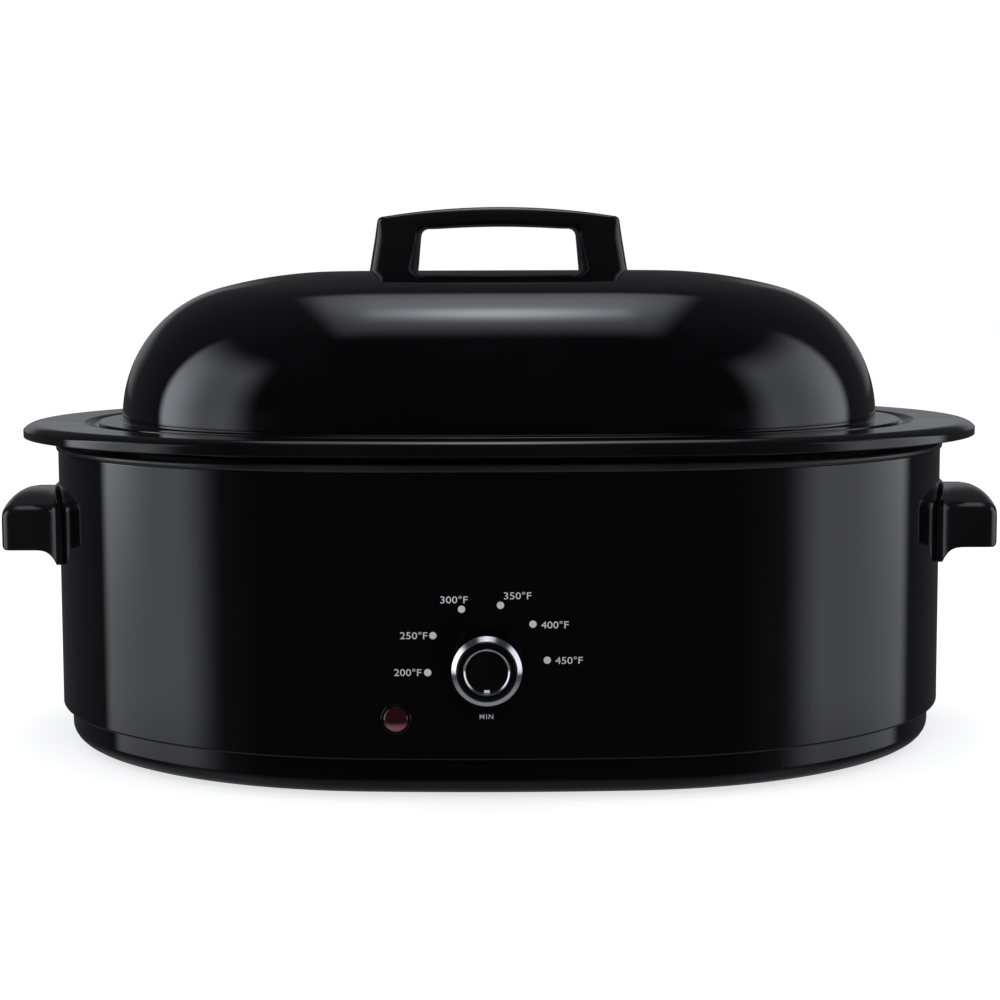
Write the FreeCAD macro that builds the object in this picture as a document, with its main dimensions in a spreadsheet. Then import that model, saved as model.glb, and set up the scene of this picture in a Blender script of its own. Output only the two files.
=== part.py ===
import FreeCAD, Part
import Sketcher
import math
import os

# Electric roaster oven, millimetres, +Z up, front at -Y.
# Origin: on the table, under the middle of the oval housing.
# Every shell follows one four-arc oval, and its depth inward from the housing wall is called an inset.

vector = FreeCAD.Vector
doc = FreeCAD.newDocument("RoasterOven")
sheet = doc.addObject("Spreadsheet::Sheet", "Sizes")
aliases = []
pieces = []


class Size:
    """A length with its value and the expression that gives it from the sheet."""

    def __init__(self, value, text):
        self.value = value
        self.text = text

    def joined(self, other, sign, value):
        return Size(value, f"({self.text} {sign} {textOf(other)})")

    def __add__(self, other):
        return self.joined(other, "+", self.value + valueOf(other))

    def __sub__(self, other):
        return self.joined(other, "-", self.value - valueOf(other))

    def __rsub__(self, other):
        return Size(valueOf(other) - self.value, f"({textOf(other)} - {self.text})")

    def __mul__(self, other):
        return self.joined(other, "*", self.value * valueOf(other))

    def __rmul__(self, other):
        return self * other

    def __truediv__(self, other):
        return self.joined(other, "/", self.value / valueOf(other))

    def __neg__(self):
        return Size(-self.value, f"(0 - {self.text})")

    def __abs__(self):
        return Size(abs(self.value), f"abs({self.text})")

    def sine(self):
        return Size(math.sin(math.radians(self.value)), f"sin({self.text} * 1 deg)")

    def cosine(self):
        return Size(math.cos(math.radians(self.value)), f"cos({self.text} * 1 deg)")

    def root(self):
        return Size(math.sqrt(self.value), f"sqrt({self.text})")


def valueOf(amount):
    return amount.value if isinstance(amount, Size) else float(amount)


def textOf(amount):
    return amount.text if isinstance(amount, Size) else repr(float(amount))


def size(alias, value):
    aliases.append(alias)
    cell = f"A{len(aliases)}"
    sheet.set(cell, repr(float(value)))
    sheet.setAlias(cell, alias)
    return Size(float(value), f"Sizes.{alias}")


def bind(thing, prop, amount):
    thing.setExpression(prop, textOf(amount))


# Housing
foot_height = size("foot_height", 8)
foot_radius = size("foot_radius", 12.6)
foot_recess = size("foot_recess", 1)
base_lift = size("base_lift", 2)
body_half_length = size("body_half_length", 261)
body_half_depth = size("body_half_depth", 205)
body_front_rise = size("body_front_rise", 2)
base_ring_height = size("base_ring_height", 19.6)
base_inset = size("base_inset", 5.3)
base_corner = size("base_corner", 9)
base_thickness = size("base_thickness", 1.2)
base_rim_width = size("base_rim_width", 8)
base_upstand = size("base_upstand", 12)
wrap_thickness = size("wrap_thickness", 1)
wall_height = size("wall_height", 148.1)
# Liner
liner_inset = size("liner_inset", 31)
liner_thickness = size("liner_thickness", 1)
liner_floor = size("liner_floor", 25)
liner_corner = size("liner_corner", 12)
bead_height = size("bead_height", 4)
bead_reach = size("bead_reach", 1.2)
seat_rise = size("seat_rise", 9.4)
seat_width = size("seat_width", 6)
# Cookwell
well_inset = size("well_inset", 40)
well_thickness = size("well_thickness", 1.2)
well_floor = size("well_floor", 37)
well_corner = size("well_corner", 16)
lip_end_reach = size("lip_end_reach", 20)
lip_front_reach = size("lip_front_reach", 4)
lip_front_rise = size("lip_front_rise", 6)
lip_height = size("lip_height", 6.6)
lip_shoulder = size("lip_shoulder", 3)
# Lid
lid_inset = size("lid_inset", 37.5)
lid_thickness = size("lid_thickness", 1.2)
lid_flange = size("lid_flange", 14)
lid_flange_thickness = size("lid_flange_thickness", 1.6)
lid_side = size("lid_side", 3.7)
dome_height = size("dome_height", 85)
dome_reach = size("dome_reach", 130)
dome_rise = size("dome_rise", 7)
lid_key_depth = size("lid_key_depth", 4)
lid_key_clearance = size("lid_key_clearance", 0.8)
# Lid handle
grip_length = size("grip_length", 152.6)
grip_top_length = size("grip_top_length", 142)
grip_height = size("grip_height", 37.3)
grip_shoulder = size("grip_shoulder", 31.4)
grip_depth = size("grip_depth", 36)
grip_opening = size("grip_opening", 93)
grip_opening_height = size("grip_opening_height", 26)
grip_opening_corner = size("grip_opening_corner", 6.5)
grip_round = size("grip_round", 5)
# Side handles
side_reach = size("side_reach", 30)
side_low = size("side_low", 113.4)
side_tall = size("side_tall", 31.6)
side_span = size("side_span", 124)
side_shell = size("side_shell", 3.5)
side_leg = size("side_leg", 15)
side_shoulder = size("side_shoulder", 11)
side_corner = size("side_corner", 20)
side_lower_edge = size("side_lower_edge", 2)
side_flange_margin = size("side_flange_margin", 10)
side_flange_tall = size("side_flange_tall", 45.8)
side_flange_thickness = size("side_flange_thickness", 3)
side_flange_angle = size("side_flange_angle", 19)
side_screw_angle = size("side_screw_angle", 15)
backing_thickness = size("backing_thickness", 1.5)
# Control panel
panel_offset = size("panel_offset", -6.5)
knob_height = size("knob_height", 71.5)
knob_gap = size("knob_gap", 1)
skirt_radius = size("skirt_radius", 17.8)
skirt_ring_width = size("skirt_ring_width", 2.8)
skirt_depth = size("skirt_depth", 3.2)
skirt_lip = size("skirt_lip", 0.5)
skirt_step = size("skirt_step", 0.4)
knob_depth = size("knob_depth", 22)
knob_bevel = size("knob_bevel", 1)
inlay_radius = size("inlay_radius", 11.8)
inlay_width = size("inlay_width", 1.2)
inlay_depth = size("inlay_depth", 1)
inlay_proud = size("inlay_proud", 0.5)
pointer_width = size("pointer_width", 3)
pointer_length = size("pointer_length", 1.4)
shaft_radius = size("shaft_radius", 3)
shaft_clearance = size("shaft_clearance", 0.05)
shaft_length = size("shaft_length", 28)
bushing_radius = size("bushing_radius", 5)
lamp_offset = size("lamp_offset", -53.3)
lamp_height = size("lamp_height", 43.2)
bezel_radius = size("bezel_radius", 8.2)
lens_radius = size("lens_radius", 6.5)
lens_bulge = size("lens_bulge", 3.4)
bezel_height = size("bezel_height", 1.8)
bezel_bevel = size("bezel_bevel", 0.8)
holder_depth = size("holder_depth", 17)
holder_wall = size("holder_wall", 1)
lamp_radius = size("lamp_radius", 3.2)
lamp_gap = size("lamp_gap", 1)
# Heating
band_thickness = size("band_thickness", 1.6)
band_low = size("band_low", 60)
band_width = size("band_width", 50)
band_split = size("band_split", 20)
ear_length = size("ear_length", 10)
ear_thickness = size("ear_thickness", 2)
ear_height = size("ear_height", 25)
blanket_thickness = size("blanket_thickness", 15)
blanket_low = size("blanket_low", 36)
blanket_gap = size("blanket_gap", 0.3)
blanket_margin = size("blanket_margin", 20)
blanket_back_gap = size("blanket_back_gap", 90)
post_radius = size("post_radius", 7)
post_shoulder = size("post_shoulder", 2)
post_end_inset = size("post_end_inset", 111)
post_front_inset = size("post_front_inset", 110)
reflector_height = size("reflector_height", 16)
reflector_inset = size("reflector_inset", 45)
# Fasteners
screw_radius = size("screw_radius", 1.75)
screw_head_radius = size("screw_head_radius", 4.2)
screw_head_height = size("screw_head_height", 2.6)
screw_clearance = size("screw_clearance", 0.15)
touch_gap = size("touch_gap", 0.1)
# Thermostat
case_width = size("case_width", 34)
case_height = size("case_height", 40)
case_depth = size("case_depth", 18)
case_standoff = size("case_standoff", 4)
bracket_thickness = size("bracket_thickness", 1.5)
bracket_wing = size("bracket_wing", 7)
bracket_gap = size("bracket_gap", 0.9)
bushing_nose = size("bushing_nose", 0.6)
sensor_width = size("sensor_width", 12)
sensor_thickness = size("sensor_thickness", 1.2)
sensor_drop = size("sensor_drop", 10)
sensor_edge = size("sensor_edge", 1)
# Wiring
gland_height = size("gland_height", 52)
gland_proud = size("gland_proud", 18)
gland_bore = size("gland_bore", 4.2)
gland_barrel = size("gland_barrel", 8)
gland_collar = size("gland_collar", 4)
gland_collar_thickness = size("gland_collar_thickness", 3)
gland_taper = size("gland_taper", 1.5)
gland_tail = size("gland_tail", 9)
gland_nut_thickness = size("gland_nut_thickness", 5)
terminal_length = size("terminal_length", 44)
terminal_depth = size("terminal_depth", 14)
terminal_height = size("terminal_height", 13)
terminal_inset = size("terminal_inset", 27)
terminal_pitch = size("terminal_pitch", 14)
lead_radius = size("lead_radius", 1.4)
lead_pitch = size("lead_pitch", 12)
lead_bend = size("lead_bend", 8)
tab_width = size("tab_width", 6)
tab_length = size("tab_length", 12)
tab_thickness = size("tab_thickness", 1.2)
tab_rise = size("tab_rise", 8)
tab_pitch = size("tab_pitch", 20)
fuse_offset = size("fuse_offset", 32)
fuse_radius = size("fuse_radius", 2.1)
fuse_length = size("fuse_length", 18)
clip_width = size("clip_width", 8)
clip_height = size("clip_height", 16)
clip_thickness = size("clip_thickness", 1.2)
# Rack
rack_wire = size("rack_wire", 2.5)
rack_gap = size("rack_gap", 9)
rack_lift = size("rack_lift", 18)
rack_bar = size("rack_bar", 2)
rack_pitch = size("rack_pitch", 34)
rack_runner_place = size("rack_runner_place", 68)
rack_leg_place = size("rack_leg_place", 102)
rack_loop_height = size("rack_loop_height", 78)
rack_loop_span = size("rack_loop_span", 92)
rack_loop_corner = size("rack_loop_corner", 20)
rack_bar_count = 9
doc.recompute()

# Heights that several pieces share
seam = base_lift + base_ring_height
wall_top = seam + wall_height
flange_top = wall_top + bead_height
seat_top = flange_top + seat_rise
lip_top = seat_top + well_thickness
lip_low = lip_top - lip_height
lid_base = lip_top + lid_flange_thickness
dome_base = lip_top + lid_side
lid_top = dome_base + dome_height
side_top = side_low + side_tall
base_floor_top = foot_height + base_thickness


class Oval:
    """A four-arc oval. Its end arcs have end_radius, and its front and back arcs are tangent to them."""

    def __init__(self, half_length, half_depth, end_radius):
        self.half_length = half_length
        self.half_depth = half_depth
        self.end_radius = end_radius
        self.end_centre = half_length - end_radius
        spread = self.end_centre * self.end_centre + half_depth * half_depth - end_radius * end_radius
        self.front_radius = spread / (2 * (half_depth - end_radius))
        self.front_centre = self.front_radius - half_depth
        share = self.front_radius - end_radius
        self.join_x = self.end_centre * self.front_radius / share
        self.join_y = self.front_centre * end_radius / share

    def inset(self, depth):
        return Oval(self.half_length - depth, self.half_depth - depth, self.end_radius - depth)

    def frontAt(self, x):
        """Distance of the front arc from the middle plane at x."""
        return (self.front_radius * self.front_radius - x * x).root() - self.front_centre

    def endAt(self, y):
        """Distance of the end arc from the middle at y."""
        return self.end_centre + (self.end_radius * self.end_radius - y * y).root()


# The front and back arcs rise a little beyond the end arcs, so every end radius follows from the depth
body_end_radius = body_half_depth - body_front_rise
body_oval = Oval(body_half_length, body_half_depth, body_end_radius)
lip_half_length = body_half_length + lip_end_reach
lip_half_depth = body_half_depth + lip_front_reach
lip_oval = Oval(lip_half_length, lip_half_depth, lip_half_depth - lip_front_rise)


def newBody(name):
    return doc.addObject("PartDesign::Body", name)


def newSketch(body, name, role, lift=None):
    sketch = body.newObject("Sketcher::SketchObject", name)
    plane = next(f for f in body.Origin.OriginFeatures if f.Role == role)
    sketch.AttachmentSupport = [(plane, "")]
    sketch.MapMode = "FlatFace"
    if lift is not None:
        bind(sketch, "AttachmentOffset.Base.z", lift)
    return sketch


def fixRadius(sketch, index, radius):
    number = sketch.addConstraint(Sketcher.Constraint("Radius", index, valueOf(radius)))
    bind(sketch, f"Constraints[{number}]", radius)


def fixCoordinate(sketch, kind, index, end, amount):
    number = sketch.addConstraint(Sketcher.Constraint(kind, -1, 1, index, end, valueOf(amount)))
    bind(sketch, f"Constraints[{number}]", amount)


def arcBetween(start, end, centre, turn):
    """The arc from start to end about centre; turn is 1 for counter-clockwise and -1 for clockwise."""
    radius = math.dist(start, centre)
    first = math.atan2(start[1] - centre[1], start[0] - centre[0])
    last = math.atan2(end[1] - centre[1], end[0] - centre[0])
    if turn < 0:
        first, last = last, first
    if last <= first:
        last += 2 * math.pi
    circle = Part.Circle(vector(*centre, 0), vector(0, 0, 1), radius)
    return Part.ArcOfCircle(circle, first, last)


def drawLoop(sketch, corners, closed=True):
    """Lines through corners (x, y); a corner (x, y, centre x, centre y, turn) starts an arc."""
    first = sketch.GeometryCount
    count = len(corners) if closed else len(corners) - 1
    starts = []
    for index in range(count):
        corner = corners[index]
        after = corners[(index + 1) % len(corners)]
        start = (valueOf(corner[0]), valueOf(corner[1]))
        end = (valueOf(after[0]), valueOf(after[1]))
        if len(corner) == 2:
            sketch.addGeometry(Part.LineSegment(vector(*start, 0), vector(*end, 0)), False)
            starts.append(1)
        else:
            centre = (valueOf(corner[2]), valueOf(corner[3]))
            sketch.addGeometry(arcBetween(start, end, centre, corner[4]), False)
            if abs(end[0] - start[0]) > abs(end[1] - start[1]):
                fixCoordinate(sketch, "DistanceY", first + index, 3, corner[3])
            else:
                fixCoordinate(sketch, "DistanceX", first + index, 3, corner[2])
            starts.append(1 if corner[4] > 0 else 2)
    for index in range(count):
        after = (index + 1) % count
        if closed or after:
            ends = (first + index, 3 - starts[index], first + after, starts[after])
            sketch.addConstraint(Sketcher.Constraint("Coincident", *ends))
    for index in range(count):
        fixCorner(sketch, first + index, starts[index], corners[index])
    if not closed:
        fixCorner(sketch, first + count - 1, 3 - starts[-1], corners[-1])


def fixCorner(sketch, index, end, corner):
    fixCoordinate(sketch, "DistanceX", index, end, corner[0])
    fixCoordinate(sketch, "DistanceY", index, end, corner[1])


def drawOval(sketch, oval):
    x, y = oval.join_x, oval.join_y
    end, front = oval.end_centre, oval.front_centre
    drawLoop(sketch, [
        (oval.half_length, 0, end, 0, 1),
        (x, y, 0, -front, 1),
        (-x, y, -end, 0, 1),
        (-x, -y, 0, front, 1),
        (x, -y, end, 0, 1),
    ])


def drawCircle(sketch, x, y, radius):
    index = sketch.GeometryCount
    circle = Part.Circle(vector(valueOf(x), valueOf(y), 0), vector(0, 0, 1), valueOf(radius))
    sketch.addGeometry(circle, False)
    fixRadius(sketch, index, radius)
    fixCorner(sketch, index, 3, (x, y))


def padOvals(body, name, low, high, outline, hole=None):
    """A flat oval plate from low to high, with an oval hole where one is given."""
    sketch = newSketch(body, name + "Sketch", "XY_Plane", low)
    drawOval(sketch, outline)
    if hole is not None:
        drawOval(sketch, hole)
    pad = body.newObject("PartDesign::Pad", name)
    pad.Profile = sketch
    bind(pad, "Length", high - low)


def sweepOval(body, name, oval, corners):
    """A profile, drawn in the XZ plane at the oval's right end, swept once round the oval."""
    path = newSketch(body, name + "Path", "XY_Plane")
    drawOval(path, oval)
    profile = newSketch(body, name + "Profile", "XZ_Plane")
    drawLoop(profile, corners)
    pipe = body.newObject("PartDesign::AdditivePipe", name)
    pipe.Profile = profile
    pipe.Spine = path


def placed(thing, x, y, z, axis=None, angle=0):
    if axis is not None:
        thing.Placement = FreeCAD.Placement(vector(), FreeCAD.Rotation(vector(*axis), valueOf(angle)))
        if isinstance(angle, Size):
            bind(thing, "Placement.Rotation.Angle", angle)
    for letter, amount in zip("xyz", (x, y, z)):
        bind(thing, f"Placement.Base.{letter}", amount)
    return thing


def turned(name, corners):
    """A profile of (radius, height) corners turned about the upright axis."""
    body = newBody(name)
    sketch = newSketch(body, name + "Profile", "XZ_Plane")
    drawLoop(sketch, corners)
    turn = body.newObject("PartDesign::Revolution", name + "Turn")
    turn.Profile = sketch
    turn.ReferenceAxis = (sketch, ["V_Axis"])
    turn.Angle = 360
    return body


def rod(name, radius, length):
    cylinder = doc.addObject("Part::Cylinder", name)
    bind(cylinder, "Radius", radius)
    bind(cylinder, "Height", length)
    return cylinder


def block(name, x, y, z):
    """A box from three (low, high) pairs."""
    box = doc.addObject("Part::Box", name)
    for prop, span in (("Length", x), ("Width", y), ("Height", z)):
        bind(box, prop, span[1] - span[0])
    return placed(box, x[0], y[0], z[0])


def drilled(name, base, tools):
    cut = doc.addObject("Part::Cut", name)
    cut.Base = base
    cut.Tool = grouped(name + "Tools", tools)
    return cut


def grouped(name, things):
    group = doc.addObject("Part::Compound", name)
    group.Links = things
    return group


def welded(name, things):
    fuse = doc.addObject("Part::MultiFuse", name)
    fuse.Shapes = things
    fuse.Refine = True
    return fuse


def publish(thing, label):
    thing.Label = label
    pieces.append(thing)


# The way out of the front wall is -Y: a quarter turn about X lays an upright piece along it.
def facingFront(thing, x, y, z):
    return placed(thing, x, y, z, (1, 0, 0), 90)


def onFrontWall(thing, x, z):
    """Stands an upright piece square on the front wall at x, its zero height at the wall's outer face."""
    swing = math.degrees(math.asin(x.value / body_oval.front_radius.value))
    turn = FreeCAD.Rotation(vector(0, 0, 1), swing)
    tilt = FreeCAD.Rotation(vector(1, 0, 0), 90)
    thing.Placement = FreeCAD.Placement(vector(), turn.multiply(tilt))
    return placed(thing, x, -body_oval.frontAt(x), z)


def facingBack(thing, x, y, z):
    return placed(thing, x, y, z, (1, 0, 0), -90)


def radialSpots():
    """The two screw places of each side handle: end (1 right, -1 left) and angle."""
    return [(end, side) for end in (1, -1) for side in (1, -1)]


def alongEnd(thing, end, angle, radius, z):
    """Lays an upright piece outward along a ray from an end arc's centre."""
    x = end * (body_oval.end_centre + radius * angle.cosine())
    y = radius * angle.sine()
    tilt = FreeCAD.Rotation(vector(0, 1, 0), 90 * end)
    swing = FreeCAD.Rotation(vector(0, 0, 1), end * angle.value)
    thing.Placement = FreeCAD.Placement(vector(), swing.multiply(tilt))
    return placed(thing, x, y, z)


def sideScrewTools(name, radius):
    middle = side_low + side_tall / 2
    start = body_end_radius - liner_inset / 2
    tools = []
    for number, (end, side) in enumerate(radialSpots()):
        tool = rod(f"{name}{number}", radius, liner_inset)
        tools.append(alongEnd(tool, end, side * side_screw_angle, start, middle))
    return tools


def rightEnd(inset):
    """X of the right end of the oval that lies inset inside the housing wall."""
    return body_half_length - inset


def makeBasePan():
    body = newBody("BasePan")
    outer = rightEnd(base_inset)
    inner = outer - base_thickness
    foot_line = outer - base_corner
    step = foot_line - base_rim_width
    top = seam + base_upstand
    sweepOval(body, "BaseRim", body_oval, [
        (outer, top),
        (inner, top),
        (inner, base_lift + base_corner, foot_line, base_lift + base_corner, -1),
        (foot_line, base_lift + base_thickness),
        (step + base_thickness, base_lift + base_thickness),
        (step + base_thickness, base_floor_top),
        (step, base_floor_top),
        (step - base_thickness, base_floor_top),
        (step - base_thickness, foot_height),
        (step, foot_height),
        (step, base_lift),
        (foot_line, base_lift, foot_line, base_lift + base_corner, 1),
        (outer, base_lift + base_corner),
    ])
    floor_inset = base_inset + base_corner + base_rim_width + base_thickness
    padOvals(body, "BaseFloor", foot_height, base_floor_top, body_oval.inset(floor_inset))
    holes = []
    for number, (x, y) in enumerate(postSpots()):
        hole = rod(f"BaseHole{number}", screw_radius + screw_clearance, foot_height)
        holes.append(placed(hole, x, y, base_lift))
    publish(drilled("BasePanDrilled", body, holes), "base_pan")


def postSpots():
    """The four places where a foot, a spacer and a screw share one axis."""
    x = body_half_length - post_end_inset
    y = body_half_depth - post_front_inset
    return [(side * x, front * y) for side in (1, -1) for front in (1, -1)]


def makeFeet():
    feet = []
    recess = screw_head_radius + foot_recess
    outer = foot_radius
    for number, (x, y) in enumerate(postSpots()):
        foot = turned(f"Foot{number}", [
            (recess, 0),
            (outer - foot_recess, 0),
            (outer, foot_height / 4),
            (outer, foot_height),
            (screw_radius + screw_clearance, foot_height),
            (screw_radius + screw_clearance, foot_height / 2),
            (recess, foot_height / 2),
        ])
        feet.append(placed(foot, x, y, 0))
    publish(grouped("Feet", feet), "feet")


def makeFootScrews():
    screws = []
    low = foot_height / 2 - screw_head_height
    tip = liner_floor - foot_recess
    for number, (x, y) in enumerate(postSpots()):
        screw = turned(f"FootScrew{number}", [
            (0, low),
            (screw_head_radius, low),
            (screw_head_radius, foot_height / 2),
            (screw_radius, foot_height / 2),
            (screw_radius, tip),
            (0, tip),
        ])
        screws.append(placed(screw, x, y, 0))
    publish(grouped("FootScrews", screws), "foot_screws")


def makeLinerPosts():
    posts = []
    bore = screw_radius + screw_clearance
    for number, (x, y) in enumerate(postSpots()):
        post = turned(f"Post{number}", [
            (bore, base_floor_top),
            (post_radius + post_shoulder, base_floor_top),
            (post_radius + post_shoulder, reflector_height),
            (post_radius, reflector_height),
            (post_radius, liner_floor),
            (bore, liner_floor),
        ])
        posts.append(placed(post, x, y, 0))
    publish(grouped("LinerPosts", posts), "liner_posts")


def makeHeatReflector():
    body = newBody("Reflector")
    high = reflector_height + liner_thickness
    padOvals(body, "ReflectorPlate", reflector_height, high, body_oval.inset(reflector_inset))
    holes = []
    for number, (x, y) in enumerate(postSpots()):
        hole = rod(f"ReflectorHole{number}", post_radius + screw_clearance, 4 * liner_thickness)
        holes.append(placed(hole, x, y, reflector_height - liner_thickness))
    publish(drilled("ReflectorDrilled", body, holes), "heat_reflector")


def makeOuterWrap():
    body = newBody("Wrap")
    outer = body_half_length
    inner = outer - wrap_thickness
    hem = outer - base_inset
    sweepOval(body, "WrapWall", body_oval, [
        (outer, seam),
        (outer, wall_top),
        (inner, wall_top),
        (inner, seam + wrap_thickness),
        (hem, seam + wrap_thickness),
        (hem, seam),
    ])
    reach = 8 * wrap_thickness
    front = 4 * wrap_thickness - body_half_depth
    tools = sideScrewTools("WrapSideHole", screw_radius + screw_clearance)
    shaft_hole = rod("WrapShaftHole", bushing_radius + screw_clearance, reach)
    tools.append(facingFront(shaft_hole, panel_offset, front, knob_height))
    half = reach / 2
    lamp_hole = turned("WrapLampHole", [(0, -half), (lens_radius, -half), (lens_radius, half), (0, half)])
    tools.append(onFrontWall(lamp_hole, lamp_offset, lamp_height))
    height = (gland_height - gland_barrel, gland_height + gland_barrel)
    tools.append(block("WrapGlandHole", (-gland_barrel, gland_barrel), (-front, reach - front), height))
    publish(drilled("WrapDrilled", body, tools), "outer_wrap")


def makeLiner():
    body = newBody("Liner")
    wall = rightEnd(liner_inset)
    inner = wall - liner_thickness
    floor_end = wall - liner_corner
    seat_out = wall + seat_width
    edge = body_half_length + bead_reach
    bead = bead_height / 2
    sweepOval(body, "LinerWall", body_oval, [
        (floor_end, liner_floor, floor_end, liner_floor + liner_corner, 1),
        (wall, liner_floor + liner_corner),
        (wall, seat_top - liner_thickness),
        (seat_out - liner_thickness, seat_top - liner_thickness),
        (seat_out - liner_thickness, flange_top - liner_thickness),
        (body_half_length - bead, flange_top - liner_thickness),
        (body_half_length - bead, wall_top),
        (edge - bead, wall_top, edge - bead, wall_top + bead, 1),
        (edge - bead, flange_top),
        (seat_out, flange_top),
        (seat_out, seat_top),
        (inner, seat_top),
        (inner, liner_floor + liner_corner, floor_end, liner_floor + liner_corner, -1),
        (floor_end, liner_floor + liner_thickness),
    ])
    floor = body_oval.inset(liner_inset + liner_corner)
    padOvals(body, "LinerFloor", liner_floor, liner_floor + liner_thickness, floor)
    publish(body, "inner_liner")


def makeHeatBand():
    body = newBody("Band")
    outer = rightEnd(liner_inset - band_thickness)
    wall = rightEnd(liner_inset)
    high = band_low + band_width
    sweepOval(body, "BandRing", body_oval, [(outer, band_low), (outer, high), (wall, high), (wall, band_low)])
    half = band_split / 2
    height = (band_low - ear_thickness, high + ear_thickness)
    split = block("BandGap", (-half, half), (0, body_half_depth), height)
    publish(drilled("BandSplit", body, [split]), "heating_band")


def makeBandClamps():
    """Two angle pieces at the band's ends and the bolt that draws them together."""
    back = body_half_depth - liner_inset + band_thickness
    near = band_split / 2
    far = near + ear_thickness
    middle = band_low + band_width / 2
    height = (middle - ear_height / 2, middle + ear_height / 2)
    ears = []
    for number, span in enumerate(((near, far), (-far, -near))):
        ears.append(block(f"ClampEar{number}", span, (back, back + ear_length), height))
    hole = rod("ClampHole", screw_radius + screw_clearance, 4 * far)
    placed(hole, -2 * far, back + ear_length / 2, middle, (0, 1, 0), 90)
    publish(drilled("ClampDrilled", grouped("BandClamps", ears), [hole]), "band_clamps")
    end = far + screw_head_height
    bolt = turned("ClampBoltTurned", [
        (0, -end),
        (screw_head_radius, -end),
        (screw_head_radius, -far),
        (screw_radius, -far),
        (screw_radius, far),
        (screw_head_radius, far),
        (screw_head_radius, end),
        (0, end),
    ])
    placed(bolt, 0, back + ear_length / 2, middle, (0, 1, 0), 90)
    publish(bolt, "clamp_bolt")


def makeBlanket():
    body = newBody("Blanket")
    inner = rightEnd(liner_inset - band_thickness - blanket_gap)
    outer = inner + blanket_thickness
    high = wall_top - bead_height
    ring = [(outer, blanket_low), (outer, high), (inner, high), (inner, blanket_low)]
    sweepOval(body, "BlanketRing", body_oval, ring)
    left = lamp_offset - bezel_radius - blanket_margin
    right = panel_offset + case_width / 2 + blanket_margin
    top = knob_height + case_height / 2 + blanket_margin
    panel = block("BlanketPanelGap", (left, right), (-body_half_depth, -body_half_depth / 2), (0, top))
    half = blanket_back_gap / 2
    above = band_low + band_width + ear_thickness
    back = block("BlanketRearGap", (-half, half), (body_half_depth / 2, body_half_depth), (0, above))
    publish(drilled("BlanketCut", body, [panel, back]), "insulation_blanket")


def makeCookwell():
    body = newBody("Cookwell")
    wall = rightEnd(well_inset)
    inner = wall - well_thickness
    floor_end = wall - well_corner
    rim = wall + well_thickness
    sweepOval(body, "WellWall", body_oval, [
        (floor_end, well_floor, floor_end, well_floor + well_corner, 1),
        (wall, well_floor + well_corner),
        (wall, seat_top),
        (rim, seat_top),
        (rim, lip_top),
        (inner, lip_top),
        (inner, well_floor + well_corner, floor_end, well_floor + well_corner, -1),
        (floor_end, well_floor + well_thickness),
    ])
    floor = body_oval.inset(well_inset + well_corner)
    padOvals(body, "WellFloor", well_floor, well_floor + well_thickness, floor)
    shoulder_oval = lip_oval.inset(lip_shoulder)
    padOvals(body, "LipPlate", seat_top, lip_top, shoulder_oval, body_oval.inset(well_inset - well_thickness))
    edge = lip_half_length
    turn_x = edge - lip_shoulder
    turn_z = lip_top - lip_shoulder
    sweepOval(body, "LipSkirt", lip_oval, [
        (edge, lip_low),
        (edge, turn_z, turn_x, turn_z, 1),
        (turn_x, lip_top),
        (turn_x, seat_top, turn_x, turn_z, -1),
        (edge - well_thickness, turn_z),
        (edge - well_thickness, lip_low),
    ])
    publish(body, "cookwell")


def makeLidShell():
    body = newBody("LidShell")
    wall = rightEnd(lid_inset)
    inner = wall - lid_thickness
    edge = wall + lid_flange
    key = rightEnd(well_inset + well_thickness + lid_key_clearance)
    key_in = key - lid_thickness
    dome_side_radius = dome_height - dome_rise
    side = Oval(dome_reach, dome_height, dome_side_radius)
    side_x = wall - dome_side_radius
    crown_x = wall - dome_reach
    crown_z = dome_base - side.front_centre
    lip = lid_flange_thickness / 2
    thin = side.join_x - lid_thickness * side.end_centre / (side.front_radius - side.end_radius)
    low = side.join_y - lid_thickness * side.front_centre / (side.front_radius - side.end_radius)
    sweepOval(body, "LidWall", body_oval, [
        (key_in, lip_top - lid_key_depth),
        (key, lip_top - lid_key_depth),
        (key, lip_top),
        (edge - lip, lip_top, edge - lip, lip_top + lip, 1),
        (edge - lip, lid_base),
        (wall, lid_base),
        (wall, dome_base, side_x, dome_base, 1),
        (crown_x + side.join_x, dome_base + side.join_y, crown_x, crown_z, 1),
        (crown_x, lid_top),
        (crown_x, lid_top - lid_thickness, crown_x, crown_z, -1),
        (crown_x + thin, dome_base + low, side_x, dome_base, -1),
        (inner, dome_base),
        (inner, lid_base),
        (key_in, lid_base),
    ])
    padOvals(body, "LidCrown", lid_top - lid_thickness, lid_top, body_oval.inset(lid_inset + dome_reach))
    holes = []
    for number, end in enumerate((1, -1)):
        hole = rod(f"LidHole{number}", screw_radius + screw_clearance, 4 * lid_thickness)
        holes.append(placed(hole, end * legCentre(), 0, lid_top - 2 * lid_thickness))
    publish(drilled("LidDrilled", body, holes), "lid_shell")


def legCentre():
    """Distance of each lid-handle screw from the middle."""
    return (grip_length + grip_opening) / 4


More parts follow.
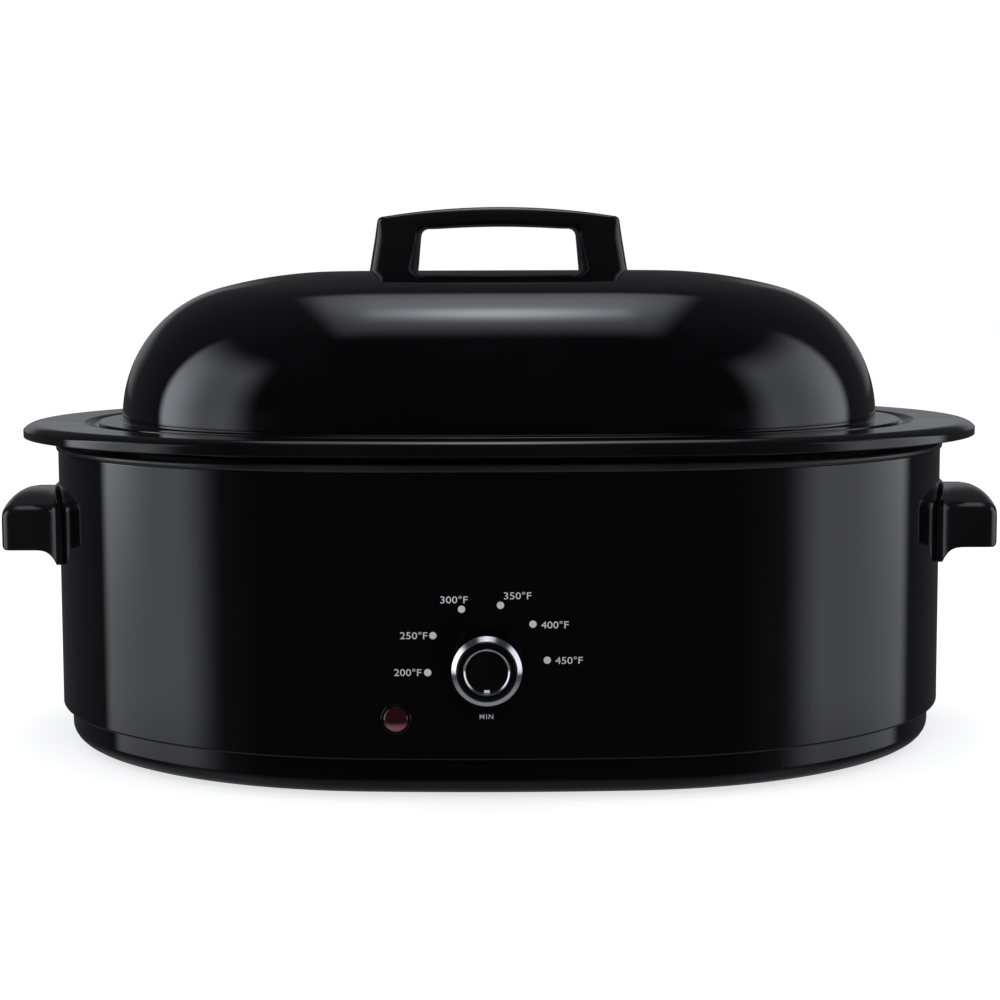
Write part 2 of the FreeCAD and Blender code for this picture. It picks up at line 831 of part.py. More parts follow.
def makeLidHandle():
    body = newBody("LidHandle")
    sketch = newSketch(body, "GripProfile", "XZ_Plane", -grip_depth / 2)
    foot = grip_length / 2
    top = grip_top_length / 2
    gap = grip_opening / 2
    corner = grip_opening_corner
    shoulder = lid_top + grip_shoulder
    crown = lid_top + grip_height
    arch = lid_top + grip_opening_height
    rise = grip_height - grip_shoulder
    crown_radius = (top * top + rise * rise) / (2 * rise)
    drawLoop(sketch, [
        (gap, lid_top),
        (foot, lid_top),
        (top, shoulder, 0, crown - crown_radius, 1),
        (-top, shoulder),
        (-foot, lid_top),
        (-gap, lid_top),
        (-gap, arch - corner, corner - gap, arch - corner, -1),
        (corner - gap, arch),
        (gap - corner, arch, gap - corner, arch - corner, -1),
        (gap, arch - corner),
    ])
    pad = body.newObject("PartDesign::Pad", "GripPad")
    pad.Profile = sketch
    bind(pad, "Length", grip_depth)
    doc.recompute()
    fillet = body.newObject("PartDesign::Fillet", "GripRounding")
    fillet.Base = (pad, shoulderEdges(pad.Shape, shoulder.value))
    bind(fillet, "Radius", grip_round)
    bores = []
    for number, side in enumerate((1, -1)):
        bore = rod(f"GripBore{number}", screw_radius + screw_clearance, grip_shoulder / 2)
        bores.append(placed(bore, side * legCentre(), 0, lid_top))
    publish(drilled("LidHandleDrilled", body, bores), "lid_handle")


def shoulderEdges(shape, shoulder):
    """Names of the two edges that run front to back at the grip's outer shoulders."""
    names = []
    for number, edge in enumerate(shape.Edges, 1):
        box = edge.BoundBox
        if box.YLength > box.XLength + box.ZLength and box.ZMin > shoulder - 0.01:
            names.append(f"Edge{number}")
    return names


def makeLidHardware():
    screws = []
    washers = []
    head = screw_head_radius
    washer = lid_thickness
    low = lid_top - lid_thickness - washer
    tip = lid_top + grip_shoulder / 2 - screw_clearance
    for number, side in enumerate((1, -1)):
        screw = turned(f"LidScrew{number}", [
            (0, low - screw_head_height),
            (head, low - screw_head_height),
            (head, low),
            (screw_radius, low),
            (screw_radius, tip),
            (0, tip),
        ])
        screws.append(placed(screw, side * legCentre(), 0, 0))
        ring = turned(f"LidWasher{number}", [
            (screw_radius + screw_clearance, low),
            (head + washer, low),
            (head + washer, low + washer),
            (screw_radius + screw_clearance, low + washer),
        ])
        washers.append(placed(ring, side * legCentre(), 0, 0))
    publish(grouped("LidScrews", screws), "lid_handle_screws")
    publish(grouped("LidWashers", washers), "lid_handle_washers")


def makeSideHandle(end, label):
    """A flange that follows the end wall, and a grip with round corners, open from below."""
    tip = body_half_length + side_reach
    root = body_oval.endAt(side_span / 2) - side_flange_thickness
    slot = side_span - 2 * side_leg
    grip = newBody("SideGrip" + label)
    corners = shoulderedEnd(end, root, tip, side_low, side_top, side_shoulder, side_lower_edge)
    padAcross(grip, label + "Grip", side_span, corners)
    hollow = newBody("SideHollow" + label)
    below = side_low - side_tall
    ceiling = side_top - side_shell
    inner = side_shoulder - side_shell
    corners = shoulderedEnd(end, root - side_leg, tip - side_shell, below, ceiling, inner)
    padAcross(hollow, label + "Hollow", slot, corners)
    flange = newBody("SideFlange" + label)
    sketch = newSketch(flange, label + "Flange", "XY_Plane", side_low - side_flange_margin)
    centre = end * body_oval.end_centre
    far = body_end_radius + side_flange_thickness
    drawCurvedPlate(sketch, end, centre, body_end_radius, far, side_flange_angle)
    plate = flange.newObject("PartDesign::Pad", label + "FlangePad")
    plate.Profile = sketch
    bind(plate, "Length", side_flange_tall)
    shell = drilled("SideShell" + label, grip, [hollow])
    whole = welded("SideWhole" + label, [shell, flange])
    wall = newBody("SideHandleWall" + label)
    padOvals(wall, label + "Clear", side_low - side_tall, side_top + side_tall, body_oval)
    bores = [wall] + tipCorners(end, label, tip)
    bores += sideScrewTools(label + "Bore", screw_radius + screw_clearance)
    publish(drilled("SideHandleDrilled" + label, whole, bores), "side_handle_" + label.lower())


def tipCorners(end, label, tip):
    """Upright cutters that leave the tip of a grip with two round corners in plan."""
    tools = []
    inner = end * (tip - side_corner)
    outer = end * (tip + side_corner)
    for number, side in enumerate((1, -1)):
        level = side * (side_span / 2 - side_corner)
        body = newBody(f"SideCorner{label}{number}")
        sketch = newSketch(body, f"SideCornerPlan{label}{number}", "XY_Plane", side_low - side_tall)
        drawLoop(sketch, [
            (end * tip, level, inner, level, end * side),
            (inner, side * (side_span / 2)),
            (inner, side * side_span),
            (outer, side * side_span),
            (outer, level),
        ])
        pad = body.newObject("PartDesign::Pad", f"SideCornerPad{label}{number}")
        pad.Profile = sketch
        bind(pad, "Length", 3 * side_tall)
        tools.append(body)
    return tools


def shoulderedEnd(end, root, tip, low, high, shoulder, lower=None):
    """A section of a side grip: square at its root, with a round upper corner at its tip."""
    turn = -end
    corners = [
        (end * root, low),
        (end * root, high),
        (end * (tip - shoulder), high, end * (tip - shoulder), high - shoulder, turn),
        (end * tip, high - shoulder),
    ]
    if lower is None:
        return corners + [(end * tip, low)]
    return corners + [
        (end * tip, low + lower, end * (tip - lower), low + lower, turn),
        (end * (tip - lower), low),
    ]


def padAcross(body, name, length, corners):
    """A section drawn across the part, carried evenly to both sides of the middle."""
    sketch = newSketch(body, name + "Section", "XZ_Plane", -length / 2)
    drawLoop(sketch, corners)
    pad = body.newObject("PartDesign::Pad", name + "Pad")
    pad.Profile = sketch
    bind(pad, "Length", length)


def drawCurvedPlate(sketch, end, centre, near, far, angle):
    """A plate between two arcs about an end centre, angle to either side of the X axis."""
    c, s = angle.cosine(), angle.sine()
    turn = -1 if end > 0 else 1
    drawLoop(sketch, [
        (centre + end * near * c, near * s),
        (centre + end * far * c, far * s, centre, 0, turn),
        (centre + end * far * c, -far * s),
        (centre + end * near * c, -near * s, centre, 0, -turn),
    ])


def makeSideBacking():
    plates = []
    screws = []
    middle = side_low + side_tall / 2
    far = body_end_radius - wrap_thickness
    near = far - backing_thickness
    for number, end in enumerate((1, -1)):
        body = newBody(f"Backing{number}")
        sketch = newSketch(body, f"BackingSketch{number}", "XY_Plane", side_low)
        drawCurvedPlate(sketch, end, end * body_oval.end_centre, near, far, side_flange_angle)
        pad = body.newObject("PartDesign::Pad", f"BackingPad{number}")
        pad.Profile = sketch
        bind(pad, "Length", side_tall)
        plates.append(body)
    holes = sideScrewTools("BackHole", screw_radius + screw_clearance)
    publish(drilled("BackingDrilled", grouped("BackingPair", plates), holes), "handle_backing_plates")
    for number, (end, side) in enumerate(radialSpots()):
        screw = turned(f"SideScrew{number}", [
            (0, 0),
            (screw_head_radius, 0),
            (screw_head_radius, screw_head_height),
            (screw_radius, screw_head_height),
            (screw_radius, liner_inset / 2),
            (0, liner_inset / 2),
        ])
        start = near - screw_head_height - touch_gap
        screws.append(alongEnd(screw, end, side * side_screw_angle, start, middle))
    publish(grouped("SideScrews", screws), "side_handle_screws")


def makeKnob():
    """Everything that turns with the knob lies along the shaft, measured outward from the wall."""
    front = -body_half_depth
    barrel = skirt_radius - skirt_lip
    base = skirt_radius - skirt_ring_width
    top = knob_gap + knob_depth
    skirt_front = top - skirt_step
    skirt_back = skirt_front - skirt_depth
    bore_end = knob_gap + knob_depth / 2
    inlay_in = inlay_radius - inlay_width
    body = turned("KnobBody", [
        (shaft_radius, knob_gap),
        (barrel, knob_gap),
        (barrel, skirt_back),
        (base, skirt_back),
        (base, top - knob_bevel),
        (base - knob_bevel, top),
        (inlay_radius, top),
        (inlay_radius, top - inlay_depth),
        (inlay_in, top - inlay_depth),
        (inlay_in, top),
        (0, top),
        (0, bore_end),
        (shaft_radius, bore_end),
    ])
    publish(facingFront(body, panel_offset, front, knob_height), "knob_body")
    ring = turned("KnobSkirt", [
        (base, skirt_back),
        (skirt_radius, skirt_back),
        (skirt_radius, skirt_back + skirt_lip),
        (base + skirt_lip, skirt_front),
        (base, skirt_front),
    ])
    publish(facingFront(ring, panel_offset, front, knob_height), "knob_skirt_ring")
    inlay = turned("KnobInlay", [
        (inlay_in, top - inlay_depth),
        (inlay_radius, top - inlay_depth),
        (inlay_radius, top + inlay_proud),
        (inlay_in, top + inlay_proud),
    ])
    publish(facingFront(inlay, panel_offset, front, knob_height), "knob_inlay_ring")
    half = pointer_width / 2
    face = front - top
    pointer_low = knob_height + touch_gap - (inlay_in * inlay_in - half * half).root()
    pointer = block(
        "Pointer",
        (panel_offset - half, panel_offset + half),
        (face - inlay_proud, face),
        (pointer_low, pointer_low + pointer_length),
    )
    publish(pointer, "knob_pointer")
    start = bore_end - shaft_length
    shaft = turned("Shaft", [(0, start), (shaft_radius, start), (shaft_radius, bore_end), (0, bore_end)])
    publish(facingFront(shaft, panel_offset, front, knob_height), "thermostat_shaft")


def makeThermostat():
    front = -body_half_depth
    case_front = front + wrap_thickness + case_standoff
    case_back = case_front + case_depth
    half_width = case_width / 2
    low = knob_height - case_height / 2
    high = knob_height + case_height / 2
    sides = (panel_offset - half_width, panel_offset + half_width)
    case = block("ThermostatCase", sides, (case_front, case_back), (low, high))
    fit = shaft_radius + shaft_clearance
    well = rod("ThermostatWell", fit, shaft_length)
    facingFront(well, panel_offset, shaftEnd(), knob_height)
    publish(drilled("ThermostatDrilled", case, [well]), "thermostat_body")
    rear = bracket_thickness - wrap_thickness - case_standoff
    bushing = turned("Bushing", [
        (fit, rear),
        (bushing_radius, rear),
        (bushing_radius, bushing_nose),
        (fit, bushing_nose),
    ])
    publish(facingFront(bushing, panel_offset, front, knob_height), "thermostat_bushing")
    wing = half_width + bracket_wing
    plate_front = case_front - bracket_thickness
    span = (panel_offset - wing, panel_offset + wing)
    plate = block("BracketPlate", span, (plate_front, case_front), (low, high))
    arm_front = front + wrap_thickness + bracket_gap
    left = (panel_offset - wing, panel_offset - wing + bracket_thickness)
    right = (panel_offset + wing - bracket_thickness, panel_offset + wing)
    arms = [block("BracketArm0", left, (arm_front, case_front), (low, high))]
    arms.append(block("BracketArm1", right, (arm_front, case_front), (low, high)))
    hole = rod("BracketHole", fit, 3 * bracket_thickness)
    facingFront(hole, panel_offset, case_front + bracket_thickness, knob_height)
    publish(drilled("BracketDrilled", welded("Bracket", [plate] + arms), [hole]), "thermostat_bracket")
    makeSensor(case_back, low + sensor_edge)


def shaftEnd():
    """The shaft's inner end, behind the front wall."""
    return shaft_length - knob_gap - knob_depth / 2 - body_half_depth


def makeSensor(case_back, low):
    """A springy plate from the thermostat's back that bears on the liner."""
    face = liner_inset - body_half_depth
    back = face - touch_gap
    bend = back - sensor_thickness
    span = (panel_offset - sensor_width / 2, panel_offset + sensor_width / 2)
    stem = block("SensorStem", span, (case_back, bend), (low, low + sensor_thickness))
    top = low + sensor_thickness
    pad = block("SensorPad", span, (bend, back), (top - sensor_drop, top))
    publish(welded("Sensor", [stem, pad]), "sensor_plate")


def makeIndicator():
    rim = lens_radius
    shoulder = bezel_radius - bezel_bevel
    bulge = (rim * rim + lens_bulge * lens_bulge) / (2 * lens_bulge)
    bezel = turned("Bezel", [
        (rim + touch_gap, touch_gap),
        (bezel_radius, touch_gap),
        (bezel_radius, bezel_height - bezel_bevel),
        (shoulder, bezel_height),
        (rim + touch_gap, bezel_height),
    ])
    publish(onFrontWall(bezel, lamp_offset, lamp_height), "indicator_bezel")
    seat = wrap_thickness
    lens = turned("Lens", [
        (0, -seat),
        (rim - touch_gap, -seat),
        (rim - touch_gap, touch_gap),
        (rim, touch_gap),
        (rim, bezel_height, 0, bezel_height + lens_bulge - bulge, 1),
        (0, bezel_height + lens_bulge),
    ])
    publish(onFrontWall(lens, lamp_offset, lamp_height), "indicator_lens")
    outer = rim - 2 * touch_gap
    inner = outer - holder_wall
    holder = turned("Holder", [
        (inner, -seat),
        (outer, -seat),
        (outer, -holder_depth),
        (0, -holder_depth),
        (0, holder_wall - holder_depth),
        (inner, holder_wall - holder_depth),
    ])
    publish(onFrontWall(holder, lamp_offset, lamp_height), "lamp_holder")
    tip = -seat - lamp_gap
    lamp = turned("Lamp", [
        (0, holder_wall - holder_depth),
        (lamp_radius, holder_wall - holder_depth),
        (lamp_radius, tip - lamp_radius),
        (lamp_radius / 2, tip),
        (0, tip),
    ])
    publish(onFrontWall(lamp, lamp_offset, lamp_height), "indicator_lamp")


def makeGland():
    """A cord gland whose square neck sits in a square hole of the wall, so that it can't turn."""
    back = body_half_depth
    tail = -wrap_thickness - gland_tail
    barrel = gland_barrel - screw_clearance
    collar = gland_barrel + gland_collar
    boot = turned("GlandBoot", [
        (0, tail),
        (barrel, tail),
        (barrel, touch_gap),
        (collar, touch_gap),
        (collar, gland_collar_thickness),
        (gland_barrel, gland_collar_thickness),
        (gland_barrel - gland_taper, gland_proud),
        (0, gland_proud),
    ])
    facingBack(boot, 0, back, gland_height)
    height = (gland_height - barrel, gland_height + barrel)
    depth = (back - wrap_thickness, back + gland_collar_thickness / 2)
    neck = block("GlandNeck", (-barrel, barrel), depth, height)
    bore = rod("GlandBore", gland_bore, gland_proud - tail)
    facingBack(bore, 0, back + tail, gland_height)
    publish(drilled("GlandDrilled", welded("GlandSolid", [boot, neck]), [bore]), "cord_gland")
    near = -wrap_thickness - screw_clearance
    far = near - gland_nut_thickness
    nut = turned("GlandNut", [(barrel, far), (collar, far), (collar, near), (barrel, near)])
    publish(facingBack(nut, 0, back, gland_height), "gland_nut")


def makeTerminalBlock():
    high = base_floor_top + terminal_height
    back = body_half_depth - terminal_inset
    front = back - terminal_depth
    half = terminal_length / 2
    publish(block("TerminalCase", (-half, half), (front, back), (base_floor_top, high)), "terminal_block")
    screws = []
    for number in (-1, 0, 1):
        screw = rod(f"TerminalScrew{number + 1}", screw_radius, liner_thickness)
        screws.append(placed(screw, number * terminal_pitch, (front + back) / 2, high))
    publish(grouped("TerminalScrews", screws), "terminal_screws")


def makeLeads():
    """Two leads from the terminal block under the liner to the thermostat."""
    leads = []
    start = body_half_depth - terminal_inset - terminal_depth
    rise = wrap_thickness + case_standoff + case_depth / 2 - body_half_depth
    knee = rise + lead_bend
    level = base_floor_top + lead_radius + screw_clearance
    for number, side in enumerate((-1, 1)):
        x = panel_offset + side * lead_pitch / 2
        body = newBody(f"Lead{number}")
        path = newSketch(body, f"LeadPath{number}", "YZ_Plane", x)
        drawLoop(path, [
            (start, level),
            (knee, level, knee, level + lead_bend, -1),
            (rise, level + lead_bend),
            (rise, knob_height - case_height / 2),
        ], closed=False)
        profile = newSketch(body, f"LeadProfile{number}", "XZ_Plane", -start)
        drawCircle(profile, x, level, lead_radius)
        pipe = body.newObject("PartDesign::AdditivePipe", f"LeadPipe{number}")
        pipe.Profile = profile
        pipe.Spine = path
        leads.append(body)
    publish(grouped("Leads", leads), "supply_leads")


def makeHeaterTerminals():
    band = liner_inset - band_thickness - body_half_depth - touch_gap
    case_top = knob_height + case_height / 2
    tab_low = case_top + tab_rise
    tabs = []
    leads = []
    for number, side in enumerate((-1, 1)):
        x = panel_offset + side * tab_pitch / 2
        span = (x - tab_width / 2, x + tab_width / 2)
        height = (tab_low, tab_low + tab_thickness)
        tabs.append(block(f"Tab{number}", span, (band - tab_length, band), height))
        lead = rod(f"HeaterLead{number}", lead_radius, tab_rise)
        leads.append(placed(lead, x, band - tab_length + 2 * lead_radius, case_top))
    publish(grouped("Tabs", tabs), "heater_terminals")
    publish(grouped("HeaterLeads", leads), "heater_leads")


def makeThermalFuse():
    band = liner_inset - band_thickness - body_half_depth - touch_gap
    x = panel_offset + fuse_offset
    span = (x - clip_width / 2, x + clip_width / 2)
    clip = block("FuseClip", span, (band - clip_thickness, band), (band_low, band_low + clip_height))
    publish(clip, "fuse_clip")
    fuse = rod("Fuse", fuse_radius, fuse_length)
    low = band_low + clip_height / 2 - fuse_length / 2
    publish(placed(fuse, x, band - clip_thickness - fuse_radius, low), "thermal_fuse")


def makeRack():
    oval = body_oval.inset(well_inset + well_thickness + rack_gap)
    floor = well_floor + well_thickness
    level = floor + rack_lift
    hoop = newBody("RackHoop")
    path = newSketch(hoop, "RackPath", "XY_Plane", level)
    drawOval(path, oval)
    profile = newSketch(hoop, "RackProfile", "XZ_Plane")
    drawCircle(profile, oval.half_length, level, rack_wire)
    pipe = hoop.newObject("PartDesign::AdditivePipe", "RackPipe")
    pipe.Profile = profile
    pipe.Spine = path
    bars = [hoop]
    under = level - rack_wire / 2
    for number in range(rack_bar_count):
        x = (number - (rack_bar_count - 1) / 2) * rack_pitch
        reach = barReach(oval, x)
        bar = rod(f"RackBar{number}", rack_bar, 2 * reach)
        bars.append(facingBack(bar, x, -reach, under))
    runner_reach = oval.endAt(rack_runner_place) - rack_wire / 2
    for number, side in enumerate((-1, 1)):
        runner = rod(f"RackRunner{number}", rack_bar, 2 * runner_reach)
        bars.append(placed(runner, -runner_reach, side * rack_runner_place, under, (0, 1, 0), 90))
    for number, (x, y) in enumerate([(a, b) for a in (-1, 1) for b in (-1, 1)]):
        leg = rod(f"RackLeg{number}", rack_bar, under - floor)
        bars.append(placed(leg, x * rack_leg_place, y * rack_runner_place, floor))
    publish(welded("RackGrid", bars), "rack_grid")
    for end, label in ((-1, "left"), (1, "right")):
        makeRackLoop(end, label, end * oval.endAt(rack_loop_span / 2), level + rack_wire)


def barReach(oval, x):
    """Half the length of a cross bar, which ends inside the hoop's wire."""
    if abs(x.value) <= oval.join_x.value:
        return oval.frontAt(x) - rack_wire / 2
    run = abs(x) - oval.end_centre
    return (oval.end_radius * oval.end_radius - run * run).root() - rack_wire / 2


def makeRackLoop(end, label, x, low):
    body = newBody("RackLoop" + label)
    half = rack_loop_span / 2
    top = low + rack_loop_height
    corner = rack_loop_corner
    path = newSketch(body, "RackLoopPath" + label, "YZ_Plane", x)
    drawLoop(path, [
        (-half, low),
        (-half, top - corner, corner - half, top - corner, -1),
        (corner - half, top),
        (half - corner, top, half - corner, top - corner, -1),
        (half, top - corner),
        (half, low),
    ], closed=False)
    profile = newSketch(body, "RackLoopProfile" + label, "XY_Plane", low)
    drawCircle(profile, x, -half, rack_wire)
    pipe = body.newObject("PartDesign::AdditivePipe", "RackLoopPipe" + label)
    pipe.Profile = profile
    pipe.Spine = path
    publish(body, "rack_loop_" + label)


def writePieces():
    doc.recompute()
    for thing in doc.Objects:
        if "Invalid" in thing.State or "Error" in thing.State:
            raise RuntimeError(f"{thing.Name} ({thing.Label}) is {thing.State}")
    for thing in pieces:
        if thing.Shape.isNull() or not thing.Shape.isValid() or thing.Shape.Volume <= 0:
            raise RuntimeError(f"{thing.Label} has no sound shape")
    os.makedirs("parts", exist_ok=True)
    for thing in pieces:
        thing.Shape.exportStep(f"parts/{thing.Label}.step")
        print(thing.Label, len(thing.Shape.Solids), round(thing.Shape.Volume))


makeBasePan()
makeFeet()
makeFootScrews()
makeLinerPosts()
makeHeatReflector()
makeOuterWrap()
makeLiner()
makeHeatBand()
makeBandClamps()
makeBlanket()
makeCookwell()
makeLidShell()
makeLidHandle()
makeLidHardware()
makeSideHandle(-1, "Left")
makeSideHandle(1, "Right")
makeSideBacking()
makeKnob()
makeThermostat()
makeIndicator()
makeGland()
makeTerminalBlock()
makeLeads()
makeHeaterTerminals()
makeThermalFuse()
makeRack()
writePieces()
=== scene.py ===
import math

import bpy
import numpy as np
from mathutils import Euler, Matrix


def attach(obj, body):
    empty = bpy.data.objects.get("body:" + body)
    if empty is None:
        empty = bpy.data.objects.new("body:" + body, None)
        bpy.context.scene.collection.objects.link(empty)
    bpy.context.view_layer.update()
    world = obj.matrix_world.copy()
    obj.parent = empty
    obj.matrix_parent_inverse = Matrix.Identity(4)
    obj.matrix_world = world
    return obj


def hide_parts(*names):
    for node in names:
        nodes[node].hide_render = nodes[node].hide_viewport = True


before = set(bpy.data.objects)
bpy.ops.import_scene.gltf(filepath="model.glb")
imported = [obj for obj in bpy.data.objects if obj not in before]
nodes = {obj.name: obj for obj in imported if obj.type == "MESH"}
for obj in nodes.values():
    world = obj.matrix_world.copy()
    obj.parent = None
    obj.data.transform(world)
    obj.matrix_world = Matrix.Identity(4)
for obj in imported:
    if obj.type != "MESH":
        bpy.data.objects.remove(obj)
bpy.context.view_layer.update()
mm = 0.001
print("frame loaded:", len(nodes), "nodes")


class Oval:
    # four arcs: two end arcs on the X axis and two flat front arcs, which share their normals
    def __init__(self, halfLength, halfDepth, endRadius):
        self.endRadius = endRadius
        self.endCentre = halfLength - endRadius
        rise = halfDepth - endRadius
        self.frontRadius = (self.endCentre ** 2 + halfDepth ** 2 - endRadius ** 2) / (2 * rise)
        self.frontCentre = self.frontRadius - halfDepth
        self.joinCosine = self.endCentre / math.hypot(self.endCentre, self.frontCentre)

    # the point whose outward normal has this angle, moved in by the inset along that normal
    def ring(self, inset, angles):
        c, s = np.cos(angles), np.sin(angles)
        onEnd = np.abs(c) > self.joinCosine
        radius = np.where(onEnd, self.endRadius, self.frontRadius) - inset
        x = radius * c + np.where(onEnd, np.sign(c) * self.endCentre, 0)
        y = radius * s - np.where(onEnd, 0, np.sign(s) * self.frontCentre)
        return x, y


bodyOval = Oval(halfLength=261, halfDepth=205, endRadius=203)
lipOval = Oval(halfLength=281, halfDepth=209, endRadius=203)


# normal angles that stand an even way apart along the body's oval
def evenAngles(count):
    fine = np.linspace(0, 2 * math.pi, 40 * count)
    x, y = bodyOval.ring(0, fine)
    run = np.concatenate([[0], np.cumsum(np.hypot(np.diff(x), np.diff(y)))])
    return np.interp(np.linspace(0, run[-1], count, endpoint=False), run, fine)


around = evenAngles(448)


# the angles of a whole turn
def circle(count):
    return np.linspace(0, 2 * math.pi, count, endpoint=False)


def unit(vectors):
    return vectors / np.maximum(np.linalg.norm(vectors, axis=-1, keepdims=True), 1e-12)


# Each corner turns into an arc of its radius, with a support point a margin before and after it.
# The first two columns are the drawing; any others are carried along in proportion.
def rounded(points, radii, closed=True, steps=4, margin=0.5):
    p = np.array(points, float)
    r = np.broadcast_to(np.asarray(radii, float), len(p))[:, None]
    before, after = np.roll(p, 1, 0) - p, np.roll(p, -1, 0) - p
    longBefore = np.linalg.norm(before[:, :2], axis=1, keepdims=True)
    longAfter = np.linalg.norm(after[:, :2], axis=1, keepdims=True)
    back, on = before[:, :2] / longBefore, after[:, :2] / longAfter
    half = np.arccos(np.clip((back * on).sum(1, keepdims=True), -1, 1)) / 2
    reach = np.minimum(r / np.tan(half), 0.48 * np.minimum(longBefore, longAfter))
    r = reach * np.tan(half)
    centre = p[:, :2] + unit(back + on) * r / np.sin(half)
    first, last = p + before * reach / longBefore, p + after * reach / longAfter
    turn = math.pi - 2 * half
    share = np.linspace(0, 1, steps + 1)[None, :, None]
    sine = np.sin(turn)[:, None]
    a, b = (first[:, :2] - centre)[:, None], (last[:, :2] - centre)[:, None]
    bent = (np.sin((1 - share) * turn[:, None]) * a + np.sin(share * turn[:, None]) * b) / sine
    arc = (1 - share) * first[:, None] + share * last[:, None]
    arc[:, :, :2] = centre[:, None] + bent
    ahead = p + before * np.minimum((reach + margin) / longBefore, 0.49)
    past = p + after * np.minimum((reach + margin) / longAfter, 0.49)
    rows = np.concatenate([ahead[:, None], arc, past[:, None]], 1)
    if closed:
        return rows.reshape(-1, p.shape[1])
    return np.concatenate([p[:1], rows[1:-1].reshape(-1, p.shape[1]), p[-1:]])


# Rings of an oval wall: each row is inset, height, and its share of the lip's oval.
def ovalRings(rows):
    share = rows[:, 2:3] if rows.shape[1] > 2 else np.zeros((len(rows), 1))
    xBody, yBody = bodyOval.ring(rows[:, :1], around[None])
    xLip, yLip = lipOval.ring(rows[:, :1], around[None])
    x = xBody + share * (xLip - xBody)
    y = yBody + share * (yLip - yBody)
    return np.stack([x, y, np.broadcast_to(rows[:, 1:2], x.shape)], -1)


# Rings that shrink a ring evenly to its middle.
def towardMiddle(ring, steps=7):
    share = np.linspace(1, 0, steps + 2)[1:-1, None, None]
    middle = ring.mean(0) * [0, 0, 1]
    return middle + (ring - middle) * share


# An object of the scene that holds a mesh, a text, a light or a camera.
def shown(name, data):
    made = bpy.data.objects.new(name, data)
    bpy.context.scene.collection.objects.link(made)
    return made


# A mesh from a grid of points in millimetres. Its columns close to a loop; its rows close too, or end in caps.
# The faces are turned outwards by its signed volume.
def gridPiece(name, points, closed=False, sharp=50):
    rows, columns = points.shape[:2]
    index = np.arange(rows * columns).reshape(rows, columns)
    if closed:
        index = np.vstack([index, index[:1]])
    index = np.hstack([index, index[:, :1]])
    quads = np.stack([index[:-1, :-1], index[:-1, 1:], index[1:, 1:], index[1:, :-1]], -1).reshape(-1, 4)
    places = points.reshape(-1, 3)
    faces = quads.tolist()
    fans = np.zeros((0, 3), int)
    if not closed:
        places = np.concatenate([places, points[0].mean(0)[None], points[-1].mean(0)[None]])
        start, end = rows * columns, rows * columns + 1
        low, high = index[0], index[-1]
        fans = np.concatenate([
            np.stack([low[1:], low[:-1], np.full(len(low) - 1, start)], -1),
            np.stack([high[:-1], high[1:], np.full(len(high) - 1, end)], -1),
        ])
        faces += fans.tolist()
    corners = np.concatenate([quads[:, [0, 1, 2]], quads[:, [0, 2, 3]], fans])
    a, b, c = places[corners[:, 0]], places[corners[:, 1]], places[corners[:, 2]]
    if (a * np.cross(b, c)).sum() < 0:
        faces = [face[::-1] for face in faces]
    mesh = bpy.data.meshes.new(name)
    mesh.from_pydata((places * mm).tolist(), [], faces)
    mesh.polygons.foreach_set("use_smooth", np.ones(len(faces), bool))
    mesh.set_sharp_from_angle(angle=math.radians(sharp))
    return shown(name, mesh)


# Hangs a finished piece on its body, its finish and the nodes that it stands for.
def mount(piece, body, material, slot, *stoodFor):
    piece.data.materials.clear()
    piece.data.materials.append(material)
    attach(piece, body)
    if stoodFor:
        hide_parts(*stoodFor)


# A vessel or dome: rows from one middle, round the rim, to the other middle.
def ovalVessel(name, rows):
    rings = ovalRings(rows)
    inner, outer = towardMiddle(rings[0])[::-1], towardMiddle(rings[-1])
    return gridPiece(name, np.concatenate([inner, rings, outer]))


# A turned piece: rows of radius and of distance to the front from a centre.
def lathe(name, rows, centre, count=96, closed=False):
    turn = circle(count)[None]
    across, up = rows[:, :1] * np.cos(turn), rows[:, :1] * np.sin(turn)
    away = np.broadcast_to(-rows[:, 1:2], across.shape)
    points = np.stack([across, away, up], -1) + centre
    return gridPiece(name, points, closed, sharp=60)


# A round wire along a flat path: rings of one radius across the path's direction, with rounded ends.
def wirePoints(path, radius, closed=False, sides=14):
    radii = np.full(len(path), float(radius))
    if closed:
        along = unit(np.roll(path, -1, 0) - np.roll(path, 1, 0))
    else:
        along = unit(np.gradient(path, axis=0))
        swing = np.linspace(0.12, 1, 5) * math.pi / 2
        depth = 0.5 * radius * (1 - np.cos(swing))[:, None]
        start, end = path[0] + along[0] * depth, path[-1] - along[-1] * depth[::-1]
        path = np.concatenate([start, path[1:-1], end])
        first, last = (np.repeat(one[None], len(swing), 0) for one in (along[0], along[-1]))
        along = np.concatenate([first, along[1:-1], last])
        cap = radius * np.sin(swing)
        radii = np.concatenate([cap, radii[1:-1], cap[::-1]])
    across = np.eye(3)[np.abs(along).max(0).argmin()]
    side = unit(np.cross(along, across))
    up = np.cross(along, side)
    turn = circle(sides)[None, :, None]
    return path[:, None] + radii[:, None, None] * (np.cos(turn) * side[:, None] + np.sin(turn) * up[:, None])


# Several pieces made one mesh object.
def joined(name, parts):
    bpy.ops.object.select_all(action="DESELECT")
    for part in parts:
        part.select_set(True)
    bpy.context.view_layer.objects.active = parts[0]
    bpy.ops.object.join()
    parts[0].name = parts[0].data.name = name
    parts[0].select_set(False)
    return parts[0]


